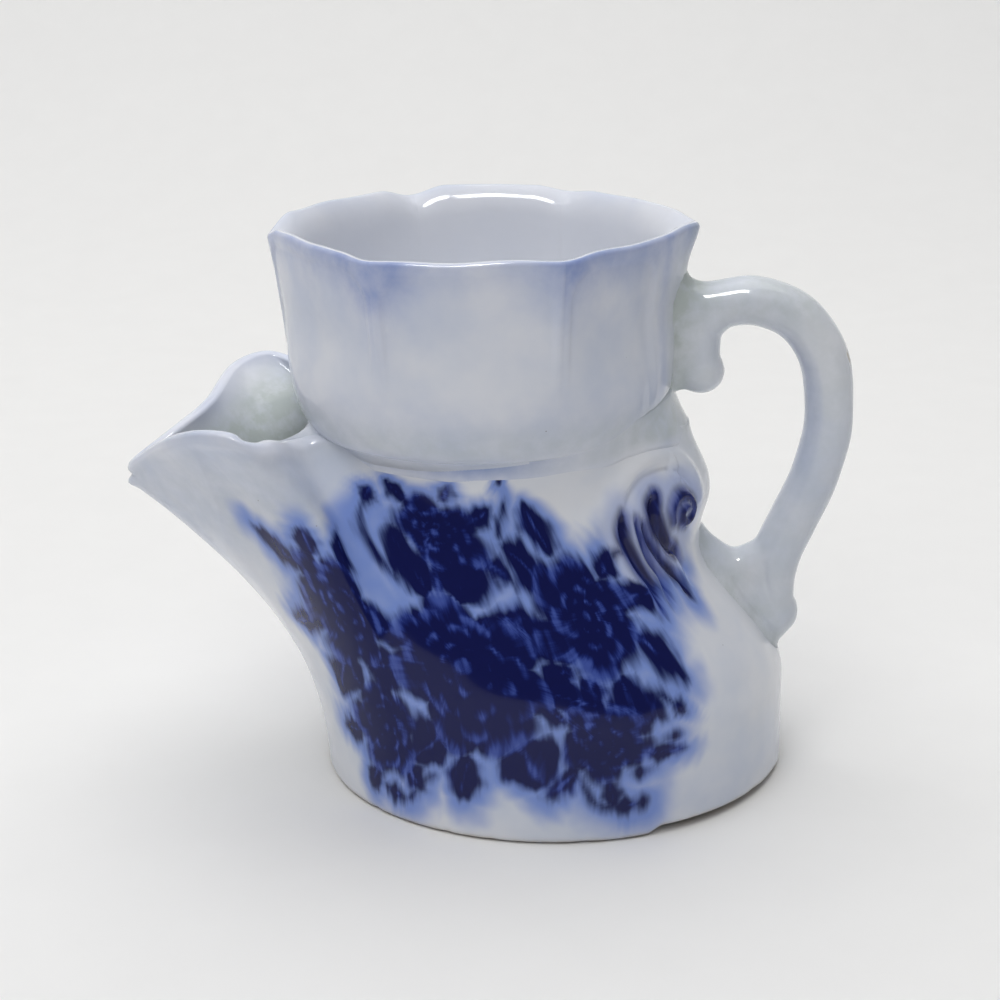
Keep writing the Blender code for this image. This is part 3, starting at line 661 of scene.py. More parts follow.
# print of flowers and leaves, drawn on the unrolled wall in mm: along the wall from the spout tip, and height
printPlan = {
    "middle": 72,  # the back wears the same print, turned round at this place
    "blossoms": [  # along, height, radius, petals, turned by, leaves around it
        (43, 20, 10.5, 5, -10, 6), (92, 21, 10, 5, 20, 6), (73, 61, 8.5, 5, 0, 6), (40, 43, 13, 6, 30, 7),
        (97, 45, 13, 6, -15, 8), (68, 34, 18, 7, 10, 9),
    ],
    "rings": ((1.0, 0.0), (0.74, 0.5), (0.5, 0.15), (0.28, 0.6)),  # size and shift of each ring of petals
    "petalTall": 0.93, "petalBase": 0.72, "petalLengths": (0.2, 0.36), "petalLit": (0.62, 0.95), "eye": 0.1,
    "leafLength": 0.55, "leafHalf": 0.27, "leafStart": 0.8,  # shares of the blossom's radius
    "leafTurn": 17,  # degrees
    "leafLoose": 0.2, "leafLengths": (0.75, 1.15), "leafWidths": (0.8, 1.15), "leafBlunt": 0.8,
    "leafWave": 0.35, "leafWaves": 16, "leafRib": (0.75, 0, 0.5),
    "stemHalf": 0.6, "budPoints": 8, "budLong": 0.6, "budHalf": 2.0, "budBlunt": 0.9,
    "stems": [  # small sprigs that end in a bud
        [(84, 60), (89, 66), (87, 71)], [(106, 54), (114, 57), (118, 53)], [(100, 30), (104, 31), (107, 28)],
        [(56, 12), (50, 7), (44, 8)], [(86, 14), (90, 8), (97, 7)], [(60, 52), (57, 60), (60, 66)],
    ],
    "berries": [(111, 35, 1.5), (104, 22, 1.3), (100, 14, 1.4), (100, 7, 1.1), (38, 7, 1.0), (66, 70, 1.2),
                (28, 52, 1.3)],
    "sway": ((1.5, 17, 21), (2.0, 23, 22)),  # mm, size and seed, so that no two petals are alike
    "blank": -40, "backShift": 40, "fanUp": 0.13, "seed": 11,
    "middleOf": (70, 38), "halfOf": (45, 34), "amidEdge": (1.05, 0.7), "flowAround": (-12, -2.0),
    "strokes": {"outerLeaf": 2.1, "middleLeaf": 1.5, "innerLeaf": 1.9, "throat": 2.9, "curl": 1.7},
    "throatPoints": 64, "strokeTone": (0.1, 0.5), "strokeEdge": (0.1, 1.5),
    "calmTurn": 8.2, "calmHalf": 14, "calmEdge": 3, "calmHeight": (46, 52),
}


def leafShape(flat, base, tip, half, blunt):  # depth inside the leaf, place along and across it
    run = np.array(tip, float) - np.array(base, float)
    length = np.linalg.norm(run)
    run = run / length
    off = flat - np.array(base, float)
    along = off @ run / length
    across = off @ np.array([-run[1], run[0]])
    inside = np.clip(along, 0, 1)
    width = half * np.sin(np.pi * inside ** blunt) ** 0.7
    past = np.maximum(np.maximum(-along, along - 1), 0) * length
    depth = np.where(past > 0, -np.hypot(past, across), width - np.abs(across))
    return depth, along, across


def drawPrint(turn, height, side):
    p = printPlan
    along = np.interp(turn, np.arange(len(wallRun)), wallRun)
    along = np.where(side > 0, 2 * p["middle"] - along, along)
    drawn = np.stack([along, height, p["backShift"] * side], -1)
    flat = drawn[:, :2] + np.stack([far * wobble(drawn, size, seed) for far, size, seed in p["sway"]], -1)
    count = len(flat)
    reach = np.full(count, float(p["blank"]))  # mm inside the inked shapes
    tone = np.full(count, 0.6)  # 0 where the ink is thin, 1 where it is deep
    fan = flat * np.array([1, p["fanUp"]])  # strokes run along this field
    draw = np.random.default_rng(p["seed"])

    def lay(depth, shade, soft=0.7):
        nonlocal reach, tone
        tone = mix(tone, shade, ease(-soft, soft, depth))
        reach = np.maximum(reach, depth)

    def layLeaf(base, tip, half, blunt):
        depth, way, across = leafShape(flat, base, tip, half, blunt)
        depth = depth + p["leafWave"] * np.sin(way * p["leafWaves"]) * ease(0.2, 1, np.abs(across) / half)
        rib = touch(p["leafRib"], across) * ease(0.05, 0.2, way) * (1 - ease(0.7, 0.95, way))
        lay(depth, 0.55 + 0.5 * ease(0.2, 1.6, depth) - rib)

    for x, z, radius, _, turned, leaves in p["blossoms"]:
        for k in range(leaves):
            apart = 2 * math.pi * (k + draw.uniform(-p["leafLoose"], p["leafLoose"])) / leaves
            angle = math.radians(turned + p["leafTurn"]) + apart
            way = np.array([math.cos(angle), math.sin(angle)])
            long = radius * (0.2 + p["leafLength"] * draw.uniform(*p["leafLengths"]))
            start = np.array([x, z]) + p["leafStart"] * radius * way
            wide = radius * p["leafHalf"] * draw.uniform(*p["leafWidths"])
            layLeaf(start, start + long * way, wide, p["leafBlunt"])
    for path in p["stems"]:
        line = smoothPath(path)
        gap, _ = lineDistance(flat, line)
        lay(p["stemHalf"] - gap, 0.8, 0.5)
        start = line[-p["budPoints"]]
        layLeaf(start, line[-1] + (line[-1] - start) * p["budLong"], p["budHalf"], p["budBlunt"])
    for x, z, radius, petals, turned, _ in p["blossoms"]:
        off = (flat - np.array([x, z])) / np.array([1, p["petalTall"]])
        out = np.hypot(off[:, 0], off[:, 1])
        angle = np.arctan2(off[:, 1], off[:, 0])
        for size, shift in p["rings"]:
            place = (angle - math.radians(turned)) * petals / (2 * np.pi) + shift
            which = np.mod(np.floor(place).astype(int), petals)
            lobe = np.sin(np.pi * (place - np.floor(place)))
            long = draw.uniform(*p["petalLengths"], petals)[which]
            edge = radius * size * (p["petalBase"] + long * lobe ** 0.6)
            lit = ease(*p["petalLit"], out / edge) * ease(0.25, 0.85, lobe)  # pale towards each petal's tip
            lay(0.9 * (edge - out), 1.1 - 0.95 * lit)
        lay(p["eye"] * radius - out, 0.2, 0.5)
        spread = ease(-1.5, 1.5, radius - out)[:, None]
        spoke = np.array([x, p["fanUp"] * z]) + off / np.maximum(out, 1.5)[:, None] * radius
        fan = mix(fan, spoke, spread)
    for x, z, radius in p["berries"]:
        lay(radius - np.linalg.norm(flat - np.array([x, z]), axis=1), 0.9, 0.5)
    # painted lines that pick out the moulded scroll
    spot = flatOf(turn, height)
    for name, width in p["strokes"].items():
        line = curlLine() if name == "curl" else scrollLine(name)
        gap, way = lineDistance(spot, line[:p["throatPoints"]] if name == "throat" else line)
        taper = 0.3 + 0.7 * np.sin(np.pi * np.clip(way * 0.9 + 0.1, 0, 1)) ** 0.7
        depth = width * taper - gap
        lay(depth, mix(*p["strokeTone"], ease(*p["strokeEdge"], depth)), 0.5)
    away = np.maximum(np.abs(spot[:, 0] - p["calmTurn"] * scroll["stretch"]) - p["calmHalf"], 0)
    calm = bell(away, p["calmEdge"]) * ease(*p["calmHeight"], height)
    off = (flat - np.array(p["middleOf"])) / np.array(p["halfOf"])
    amid = ease(*p["amidEdge"], np.hypot(off[:, 0], off[:, 1]))
    flow = np.maximum(reach, mix(*p["flowAround"], amid))  # the glaze between the blossoms is blue too
    return reach, flow, tone, fan, drawn, calm


def wallAt(turn, rise):
    c = chamber
    lip = ease(*c["lipRise"], rise) * (1 - ease(*c["spoutTurn"], turn))
    thick = mix(c["wall"], c["lipWall"], lip) + touch(c["saddleLip"], turn) * ease(*c["saddleRise"], rise)
    return thick + touch(c["funnel"], rise) * (1 - ease(*c["funnelEnd"], turn))


def lipBead(turn, below):  # a soft bead along the outside of the spout's lip
    return touch(chamber["bead"], below) * (1 - ease(*chamber["beadEnd"], turn))


def levelled(normal, rise):  # near the lip a downward-facing normal turns level, against an undercut
    down = 1 - chamber["undercut"] * ease(*chamber["lipRise"], rise)
    return unit(normal * np.stack([np.ones_like(down), np.ones_like(down), down], -1))


def keepApart(inner, outer):  # the inner face stays on its own side of the mould seam
    inner[:, 1] = np.maximum(inner[:, 1], np.maximum(chamber["seamShare"] * outer[:, 1], 0))


def lipEdges(turn, topRise, side):  # the lip's outer edge, its middle and the way up from there to its crest
    c = chamber
    edgeOut = chamberOutside(turn, topRise, side)
    normal, up = chamberNormal(turn, topRise, side)
    wall = wallAt(turn, topRise)
    edgeIn = edgeOut - levelled(normal, topRise) * wall[:, None]
    keepApart(edgeIn, edgeOut)
    edgeOut = edgeOut + normal * lipBead(turn, 0 * turn)[:, None]
    climb = up * (c["lipClimb"] * wall * (1 - c["climbLoss"] * ease(*c["climbEnd"], turn)))[:, None]
    return edgeOut, (edgeOut + edgeIn) / 2, climb


def paintChamber(piece, turn, height, side, toLip, toNeck, aboveFoot, outside, walls):
    c = chamber
    reach, flow, tone, fan, drawn, calm = drawPrint(turn, height, side)
    for name, field in (("inkReach", reach), ("inkFlow", flow)):
        short = touch(c["inkStop"], toNeck) * (1 - ease(*c["inkStopReach"], field))  # stops short of the neck
        addField(piece, name, np.where(outside, field - short, printPlan["blank"]))
    addField(piece, "inkTone", tone)
    addField(piece, "inkFan", np.stack([fan[:, 0], fan[:, 1], drawn[:, 2]], -1))
    addField(piece, "inkCalm", calm)
    addField(piece, "wallPlace", drawn)
    spout = 1 - ease(*c["spoutEnd"], turn)
    besideLip = ease(*c["sideFrom"], toLip)
    onLip = c["lipWash"] * np.exp(-toLip / c["lipWashRun"])
    onSide = c["sideWash"] * besideLip * ease(*c["sideHeight"], height)
    atFoot = touch(c["footWash"], height) * ease(*c["washTurn"], turn)
    wash = spout * (onLip + outside * onSide) + outside * atFoot
    addField(piece, "blueWash", np.clip(wash, 0, 1))
    # painted shade: the spout's sides under the lip are painted darker green-grey
    onSide = c["sideShade"] * besideLip * ease(*c["sideShadeHeight"], height)
    # inside the spout the green-grey is pooled glaze and also painted shade of the hollow
    inThroat = c["throatPoolAndShade"] * ease(*c["throatFrom"], toLip)
    atHandle = mix(*c["handlePool"], ease(*c["handlePoolHeight"], height))
    atHandle = atHandle * bell((lastTurn - turn) * (wallRun[-1] - wallRun[-2]), c["handleHalf"])
    pool = spout * np.where(outside, onSide, inThroat)
    pool = pool + outside * ((1 - spout) * touch(c["neckPool"], toNeck) + atHandle)
    addField(piece, "poolAndPaintedShade", pool)
    bare = np.where(walls, 0, 1) + outside * touch(c["bareFoot"], aboveFoot)
    addField(piece, "bareClay", np.clip(bare, 0, 1))


def makeChamber():
    c = chamber
    half = c["columns"]
    sections = np.cumsum([c["outerRows"], c["lipRows"], c["innerRows"], c["footRows"]])
    piece, column, row = addSheet("scuttleBody", 2 * half, int(sections[-1]))
    side, share = halfSides(column, half)
    mirror = mirrorOf(side)
    turns = np.arange(len(wallRun), dtype=float)
    pace = wallRun + c["evenPace"] * turns / lastTurn + c["scrollPace"] * ease(*c["scrollTurn"], turns)
    turn = np.interp(share * pace[-1], pace, turns)
    topRise = np.where(turn > c["creaseTurn"], np.minimum(1, creaseRise(turn, side) + c["tuck"]), 1.0)
    topRise = topRise - c["handleTuck"] * ease(*c["tuckTurn"], turn)  # the neck's slip covers the rest
    rise = topRise * np.clip(row / sections[0], 0, 1)
    outer = chamberOutside(turn, rise, side)
    normal, _ = chamberNormal(turn, rise, side)
    height = outer[:, 2]
    zero = np.zeros_like(turn)
    footLine = chamberOutside(turn, zero, side)
    footNormal, _ = chamberNormal(turn, zero, side)
    aboveFoot = height - footLine[:, 2]
    toLip = (topRise - rise) * c["lipRun"]
    # outer wall, with the foot's lower edge rounded off and chipped, and an old glaze drip under the tip
    relief = scrollRelief(turn, height) * ease(*c["reliefEnd"], topRise - rise + c["reliefLeft"])
    roundOff = c["footRound"] + (side < 0) * sum(touch(chip, turn) for chip in c["chips"])
    low = np.maximum(0, roundOff - aboveFoot)
    inset = roundOff - np.sqrt(np.maximum(roundOff**2 - low**2, 0))
    rough = c["uneven"] * twoWobbles(outer * mirror, *c["unevenSizes"], 1)
    rough = rough * ease(*c["unevenFoot"], aboveFoot) * ease(*c["unevenLip"], toLip)
    drip = touch(c["drip"], height) * bell(turn, c["dripHalf"])
    drip = drip - touch(c["dripNotch"], height) * bell(turn, c["notchHalf"])
    outer = outer + normal * (relief + rough + drip + lipBead(turn, toLip) - inset)[:, None]
    # inner wall
    innerShare = 1 - np.clip((row - sections[1]) / c["innerRows"], 0, 1)
    riseIn = topRise * innerShare
    flush = chamberOutside(turn, riseIn, side)
    normalIn = levelled(chamberNormal(turn, riseIn, side)[0], riseIn)
    inner = flush - normalIn * wallAt(turn, riseIn)[:, None]
    inner[:, 2] = np.where(riseIn == 0, flush[:, 2], inner[:, 2])
    keepApart(inner, flush)
    # rolled lip from the outer edge over to the inner one
    edgeOut, middle, climb = lipEdges(turn, topRise, side)
    swing = np.pi * np.clip((row - sections[0]) / c["lipRows"], 0, 1)[:, None]
    lip = middle + (edgeOut - middle) * np.cos(swing) + climb * np.sin(swing)
    lip[:, 1] = np.maximum(lip[:, 1], 0)
    # underside of the foot ring, back to the first row
    under = np.clip((row - sections[2]) / c["footRows"], 0, 1)
    first = footLine - footNormal * roundOff[:, None]
    startIn = footLine - footNormal * c["wall"]
    startIn[:, 2] = first[:, 2]
    startIn[:, 1] = np.maximum(startIn[:, 1], 0)
    foot = mix(startIn, first, under[:, None])
    parts = [row <= sections[0], row < sections[1], row <= sections[2]]
    places = choose(parts, [outer, lip, inner], foot)
    places[:, 1] = np.where(column % half == 0, 0, places[:, 1])
    toNeck = (topRise - rise) * c["neckRun"]
    toLip = np.where(parts[0], toLip, np.where(parts[1], 0, (1 - innerShare) * c["lipRun"]))
    paintChamber(piece, turn, height, side, toLip, toNeck, aboveFoot, parts[0], parts[2])
    writePlaces(piece, places * mirror)
    closeSheet(piece)
    return piece


# slip smoothed into the crease between the chamber and the bowl, in mm
neckSlip = {
    "start": 5.58, "down": 4.2, "up": 3.4, "columns": 150, "arcRows": 12, "sink": 0.1, "deep": 1.2,
    "bead": (0.3, 0.3, 0.16), "beadTurn": (6.4, 7.2),
    "standOff": 0.02, "pressIn": 0.05, "cornerUp": 0.3, "cornerDown": 0.2,
    "collarRadius": 40.4, "collarHeight": 77.0, "collarDown": 7.5, "collarUp": 5.6, "collarTurn": (8.2, 8.9),
    "webTurn": (5.9, 6.35), "webGrow": 0.42,  # beside the spout a web fills the corner above the lip
    "webUp": 2.6, "webBack": 9, "webFill": 0.8, "crest": 0.97,  # webBack is in degrees towards the spout
    "pool": (0.25, 0.85), "poolTurn": (7.6, 8.7), "poolFrom": (0, 0.35),
    "wash": 0.12, "frontWash": (1.15, 0.5, 0.4), "frontTurn": (1, 6.9, 0.55),
}


def makeNeckSlip():
    n = neckSlip
    last = n["arcRows"]
    piece, column, row = addSheet("neckSlip", 2 * n["columns"], last + 3)
    side, share = halfSides(column, n["columns"])
    mirror = mirrorOf(side)
    turn = mix(n["start"], lastTurn, share)
    rise = creaseRise(turn, side)
    crease = chamberOutside(turn, rise, side)
    angle = np.arctan2(crease[:, 1], crease[:, 0] - bowl["middleX"])
    nearHandle = ease(*n["collarTurn"], turn)
    collar = roundPlace(angle, n["collarRadius"], n["collarHeight"])
    crease = mix(crease, collar, nearHandle[:, None])
    # lower edge on the chamber
    lowRise = rise - mix(n["down"], n["collarDown"], nearHandle) / chamber["neckRun"]
    low = chamberOutside(turn, lowRise, side)
    lowNormal, lowUp = chamberNormal(turn, lowRise, side)
    low = low + lowNormal * (scrollRelief(turn, low[:, 2]) - n["sink"])[:, None]
    web = 1 - ease(*n["webTurn"], turn)
    _, middle, climb = lipEdges(turn, np.ones_like(turn), side)
    crest = middle + climb * n["crest"]
    low = mix(low, crest, web[:, None])
    # upper edge on the bowl
    highZ = mix(crease[:, 2] + mix(n["up"], n["collarUp"], nearHandle), crest[:, 2] + n["webUp"], web)
    leaned = angle + math.radians(n["webBack"]) * web
    outward = levelWay(leaned)
    high = roundPlace(leaned, bowlOutside(leaned, highZ) + n["standOff"], highZ)
    high = high + bowlUneven(high * mirror, leaned * side, highZ) * mirror - outward * n["pressIn"]
    cornerR = bowlOutside(angle, crest[:, 2] + n["cornerUp"])
    corner = roundPlace(angle, cornerR, crest[:, 2] - n["cornerDown"])
    crease = mix(crease, mix(crest, corner, n["webFill"]), web[:, None])
    grow = ease(n["start"], n["start"] + n["webGrow"], turn)[:, None]  # the web rises out of the lip
    high = mix(crest, high, grow)
    crease = mix(crest, crease, grow)
    # arc between the edges, which leaves the wall without an edge
    t = np.clip(row / last, 0, 1)[:, None]
    run = crease - low
    flush = lowUp * np.linalg.norm(run, axis=1, keepdims=True)
    first = low + mix(flush, run, np.maximum(web[:, None], 1 - grow)) * 2 / 3
    second = high + (crease - high) * 2 / 3
    arc = (1 - t) ** 3 * low + 3 * t * (1 - t) ** 2 * first + 3 * t**2 * (1 - t) * second + t**3 * high
    across = t[:, 0]
    arc = arc + outward * (touch(n["bead"], across) * ease(*n["beadTurn"], turn))[:, None]
    # back of the slip, sunk into both pieces
    sunk = mix(lowNormal, np.array([0, 0, 1.0]), web[:, None])
    deep = n["deep"] * grow
    behind = [high - outward * deep, low - sunk * deep]
    places = choose([row <= last, row == last + 1, row == last + 2], [arc, *behind], low)
    places[:, 1] = np.where(turn == lastTurn, 0, places[:, 1])
    addField(piece, "poolAndPaintedShade", ease(*n["poolFrom"], across) * mix(*n["pool"], ease(*n["poolTurn"], turn)))
    addField(piece, "blueWash", n["wash"] + touch(n["frontWash"], across) * touch(n["frontTurn"], turn))
    writePlaces(piece, places * mirror)
    closeSheet(piece)
    capEnds(piece)
    return piece


# handle, in mm: a loop, a drop under its upper end, a foot web and a toe, blended into one
handle = {
    "backX": 76, "top": 103.7, "foot": 27.5, "width": 12, "depth": 10.2, "dropReach": 20,
    "loop": [(-0.15, 0.012, 0.93), (0.1, 0.008, 0.97), (0.5, 0.0, 1.0), (0.85, 0.088, 1), (1, 0.3, 1),
             (0.93, 0.49, 1), (0.76, 0.65, 1), (0.64, 0.77, 1), (0.61, 0.87, 0.96), (0.625, 0.935, 0.92)],
    "web": [(0.7, 0.72, 0.8), (0.47, 0.79, 0.9), (0.28, 0.8, 0.85), (0.1, 0.76, 0.85)],
    "sole": [(0.0, 0.72, 0.7), (0.34, 0.835, 0.95), (0.58, 0.94, 0.9)],
    # x from the bowl, share of dropReach and scale
    "drop": [(0, 0.05, 0.98), (0.3, 0.4, 1.02), (0.9, 0.7, 0.86)],
    "back": [(-2.6, 0, 0.7), (-3.2, 0.5, 0.7), (-3.7, 0.85, 0.62)],
    "tubes": {"loop": 1.0, "web": 0.9, "sole": 0.95, "drop": 0.94, "back": 0.94},  # how wide each tube is
    "balls": ((1.3, 0.7, 0.97, 0.92), (3.2, 0.145, 0.84, 0.84)), "toe": (1.07, 1.05),  # scale across and up
    "voxel": 0.5, "soften": 18, "near": 12, "sink": 1.3, "filletReach": 5.0, "fillet": 3.2,
    "levelLeast": 0.2, "levelGain": 1.4, "uneven": 0.12, "unevenSize": 17, "unevenFrom": (0, 4),
    "creases": [[(51.5, 41.5), (54, 37), (57, 33), (61, 28.5)],  # x and z
                [(58, 45), (58.6, 40), (60.2, 35.5)]],
    "creaseDepths": (0.75, 0.4), "creaseHalf": 0.75, "creaseFrom": (1.5, 3.5),
    "chip": (75.0, -1.6, 88.4), "chipSize": (1.5, 1.5, 2.85), "chipDepth": 0.35,
    "chipEdge": (1.1, 0.5), "chipRagged": 0.25, "chipRaggedSize": 2.5,
    # green-grey pools in the joints, painted shade in green-grey on top, blue on the inside of the loop
    "pool": 0.3, "jointHalf": 3.2, "jointPool": (0.35, 0.9), "jointHeight": (60, 80),
    "topShade": 0.4, "topWash": 0.1, "topHeight": (93, 100),
    "wash": 0.04, "innerWash": (0.5, 82, 18), "innerFrom": (46, 60), "innerFacing": (0.2, 0.9),
    "outerWash": (0.12, 60, 14), "outerFrom": (60, 70),
}


def sweepTube(name, knots, radius, sides=6, smooth=10):  # a tube along bezier knots of (place, scale)
    clearSelection()
    bpy.ops.curve.primitive_bezier_curve_add()
    path = bpy.context.object
    path.name = name
    path.location = (0, 0, 0)
    path.data.dimensions = "3D"
    path.data.bevel_depth = radius * mm
    path.data.bevel_resolution = sides
    path.data.resolution_u = smooth
    path.data.use_fill_caps = True
    spline = path.data.splines[0]
    spline.bezier_points.add(len(knots) - 2)
    for knot, (place, scale) in zip(spline.bezier_points, knots):
        knot.co = Vector(place) * mm
        knot.radius = scale
        knot.handle_left_type = "AUTO"
        knot.handle_right_type = "AUTO"
    bpy.ops.object.convert(target="MESH")
    piece = bpy.context.object
    closeSheet(piece)
    return piece


def addBall(place, radius, across, tall):
    clearSelection()
    spot = Vector(place) * mm
    bpy.ops.mesh.primitive_uv_sphere_add(segments=40, ring_count=24, radius=radius * mm, location=spot)
    ball = bpy.context.object
    ball.scale = (across, 1.0, tall)
    bpy.ops.object.transform_apply(location=True, rotation=True, scale=True)
    return ball


def makeHandle(walls):
    h = handle
    grip = h["depth"] / 2
    bowX = h["backX"] - grip
    archZ = h["top"] - grip
    wallX = bowl["middleX"] + bowl["rimRadius"]

    def loopPlace(x, z):
        return (mix(wallX, bowX, x), 0, archZ - z * (archZ - h["foot"]))

    def dropPlace(x, down):
        return (wallX + x, 0, archZ - down * h["dropReach"])

    tubes = []
    for name, wide in h["tubes"].items():
        where = dropPlace if name in ("drop", "back") else loopPlace
        knots = [(where(x, z), scale) for x, z, scale in h[name]]
        tubes.append((sweepTube("handle_" + name, knots, grip), wide))
    for x, down, across, tall in h["balls"]:
        tubes.append((addBall(dropPlace(x, down), grip, across, tall), 1.0))
    tubes.append((addBall(loopPlace(*h["loop"][-1][:2]), grip, *h["toe"]), 1.0))
    for tube, wide in tubes:
        places = readPlaces(tube)
        places[:, 1] *= h["width"] / h["depth"] * wide
        writePlaces(tube, places)
    piece = joinAll([tube for tube, _ in tubes])
    piece.name = "loopHandle"
    applyModifier(piece, "blend", "REMESH", mode="VOXEL", voxel_size=h["voxel"] * mm)
    applyModifier(piece, "soften", "SMOOTH", factor=0.5, iterations=h["soften"])
    seatHandle(piece, walls)
    bpy.ops.object.shade_smooth()
    return piece


def seatHandle(piece, walls):  # flares the ends out onto the walls and keeps what is sunk in them short
    h = handle
    graph = bpy.context.evaluated_depsgraph_get()
    trees = [BVHTree.FromObject(wall, graph) for wall in walls]
    places = readPlaces(piece)
    normals = np.zeros(len(places) * 3)
    piece.data.vertex_normals.foreach_get("vector", normals)
    normals = normals.reshape(-1, 3)
    nearest = np.full(len(places), 99.0)
    for tree in trees:
        for k, place in enumerate(places):
            spot, facing, _, gap = tree.find_nearest(Vector(place) * mm)
            gap = gap / mm
            if gap > h["near"]:
                continue
            out = np.array(facing)
            offset = place - np.array(spot) / mm
            signed = gap if offset @ out >= 0 else -gap
            if signed < -h["sink"]:
                places[k] = np.array(spot) / mm - out * h["sink"]
                signed = -h["sink"]
            nearest[k] = min(nearest[k], signed)
            if signed < h["filletReach"]:
                flat = normals[k] - (normals[k] @ out) * out
                size = np.linalg.norm(flat)
                if size > h["levelLeast"]:
                    share = 1 - max(signed, 0) / h["filletReach"]
                    share = 1 - math.sqrt(1 - share * share)
                    places[k] = places[k] + flat / size * h["fillet"] * share * min(1, size * h["levelGain"])
    rough = h["uneven"] * wobble(places, h["unevenSize"], 8) * ease(*h["unevenFrom"], nearest)
    places = places + normals * rough[:, None]
    for line, deep in zip(h["creases"], h["creaseDepths"]):
        gap, along = lineDistance(places[:, [0, 2]], smoothPath(line))
        cut = deep * bell(gap, h["creaseHalf"]) * ease(*h["creaseFrom"], np.abs(places[:, 1]))
        cut = cut * np.sin(np.pi * np.clip(along, 0, 1)) ** 0.5
        places = places - normals * cut[:, None]
    off = (places - np.array(h["chip"])) / np.array(h["chipSize"])
    ragged = h["chipRagged"] * wobble(places, h["chipRaggedSize"], 31)
    chipped = ease(*h["chipEdge"], np.linalg.norm(off, axis=1) + ragged)
    places = places - normals * (h["chipDepth"] * chipped)[:, None]
    writePlaces(piece, places)
    addField(piece, "bareClay", chipped)
    x, z = places[:, 0], places[:, 2]
    onTop = ease(*h["topHeight"], z)
    joint = bell(np.maximum(nearest, 0), h["jointHalf"]) * mix(*h["jointPool"], ease(*h["jointHeight"], z))
    # painted shade: the top of the handle is painted darker green-grey
    addField(piece, "poolAndPaintedShade", joint + h["pool"] + h["topShade"] * onTop)
    inner = ease(*h["innerFacing"], -normals[:, 0]) * ease(*h["innerFrom"], x)
    wash = inner * touch(h["innerWash"], z) + touch(h["outerWash"], z) * ease(*h["outerFrom"], x)
    addField(piece, "blueWash", np.clip(wash + h["topWash"] * onTop + h["wash"], 0, 1))


# pierced floor of the bowl, and the bottom plate inside the foot ring, in mm
soapFloor = {"radius": 30.2, "thick": 4.4, "drain": 2.4, "circle": 13, "drains": 6, "edge": 0.5}
bottomPlate = {"length": 90.2, "width": 82.8, "low": 1.6, "thick": 4.6, "edge": 0.8}


def makeDisc(name, radius, thick, x, bottom):
    clearSelection()
    bpy.ops.mesh.primitive_cylinder_add(vertices=128, radius=radius * mm, depth=thick * mm)
    piece = bpy.context.object
    piece.name = name
    editAll(piece)
    bpy.ops.transform.translate(value=(x * mm, 0, (bottom + thick / 2) * mm))
    bpy.ops.object.mode_set(mode="OBJECT")
    return piece


def finishEdges(piece, width):
    applyModifier(piece, "edges", "BEVEL", width=width * mm, segments=4,
                  limit_method="ANGLE", angle_limit=math.radians(50))
    bpy.ops.object.shade_smooth_by_angle(angle=math.radians(40))


def makeSoapFloor():
    f = soapFloor
    piece = makeDisc("soapFloor", f["radius"], f["thick"], bowl["middleX"], bowl["seatHeight"])
    holes = []
    for k in range(f["drains"] + 1):
        angle = 2 * math.pi * k / f["drains"]
        reach = f["circle"] if k < f["drains"] else 0
        spot = (bowl["middleX"] + reach * math.cos(angle), reach * math.sin(angle), bowl["seatHeight"])
        clearSelection()
        bpy.ops.mesh.primitive_cylinder_add(vertices=40, radius=f["drain"] * mm, depth=3 * f["thick"] * mm,
                                            location=Vector(spot) * mm)
        holes.append(bpy.context.object)
    cutter = joinAll(holes)
    applyModifier(piece, "drains", "BOOLEAN", operation="DIFFERENCE", object=cutter)
    bpy.data.objects.remove(cutter, do_unlink=True)
    finishEdges(piece, f["edge"])
    return piece


def makeBottomPlate():
    b = bottomPlate
    piece = makeDisc("bottomPlate", b["length"] / 2, b["thick"], 0, b["low"])
    places = readPlaces(piece)
    places[:, 1] *= b["width"] / b["length"]
    places[:, 0] += chamber["footX"]
    writePlaces(piece, places)
    finishEdges(piece, b["edge"])
    return piece


# glaze and print, with noise scales per metre on the pot and per mm in the print
glaze = {
    "white": (0.79, 0.805, 0.848), "cool": (0.61, 0.665, 0.78), "blue": (0.235, 0.315, 0.62),
    # the green-grey pool colour below is pooled glaze and also painted shade
    "pool": (0.51, 0.56, 0.55), "clay": (0.50, 0.43, 0.34), "speck": (0.13, 0.12, 0.12),
    "halo": (0.175, 0.28, 0.68), "mid": (0.018, 0.042, 0.3), "navy": (0.0002, 0.001, 0.062),
    "cloudScale": 55, "fineScale": 260, "speckScale": 170, "clayScale": 400,
    "bumpScale": 150, "roughScale": 120,
    "roughness": 0.09, "roughMore": 0.05, "clayRough": 0.6,
    "specular": 0.1, "coat": 0.34, "coatRoughness": 0.03,
    "bump": 0.12, "bumpDepth": 0.0006,
    # below, the share of cool tint kept where the bowl's inside is painted lighter
    "coolCloud": (0.3, 0.75, 0, 0.75), "insideCoolLeft": 0.15, "poolFine": (0.25, 0.7, 0.35, 0.9),
    "washCloud": 0.9, "washLess": -0.05, "washFine": 0.7,
    "speckEdge": (0.016, 0.034), "speckRare": 0.66, "speckDark": 0.6, "clayPatches": (0.25, 0.6, 0.2, 1),
    "driftStretch": (0.5, 0.1, 1), "runStretch": (0.2, 0.045, 1), "inkCloud": 0.12, "strokeScale": 0.85,
    "flowCloud": 5, "driftDepth": 1.7, "strokeDepth": 0.7, "runDepth": 1.5, "cloudDepth": 0.7,
    "haloReach": (-7.3, -0.8), "haloMost": 0.92, "haloCalm": 0.5,
    "inkEdge": (-1.7, 1.2), "inkWild": (3.8, 1.0),
    "inkDepth": (-0.2, 0.8), "inkCover": (-0.2, 0.5, 0.8, 0.98),
}


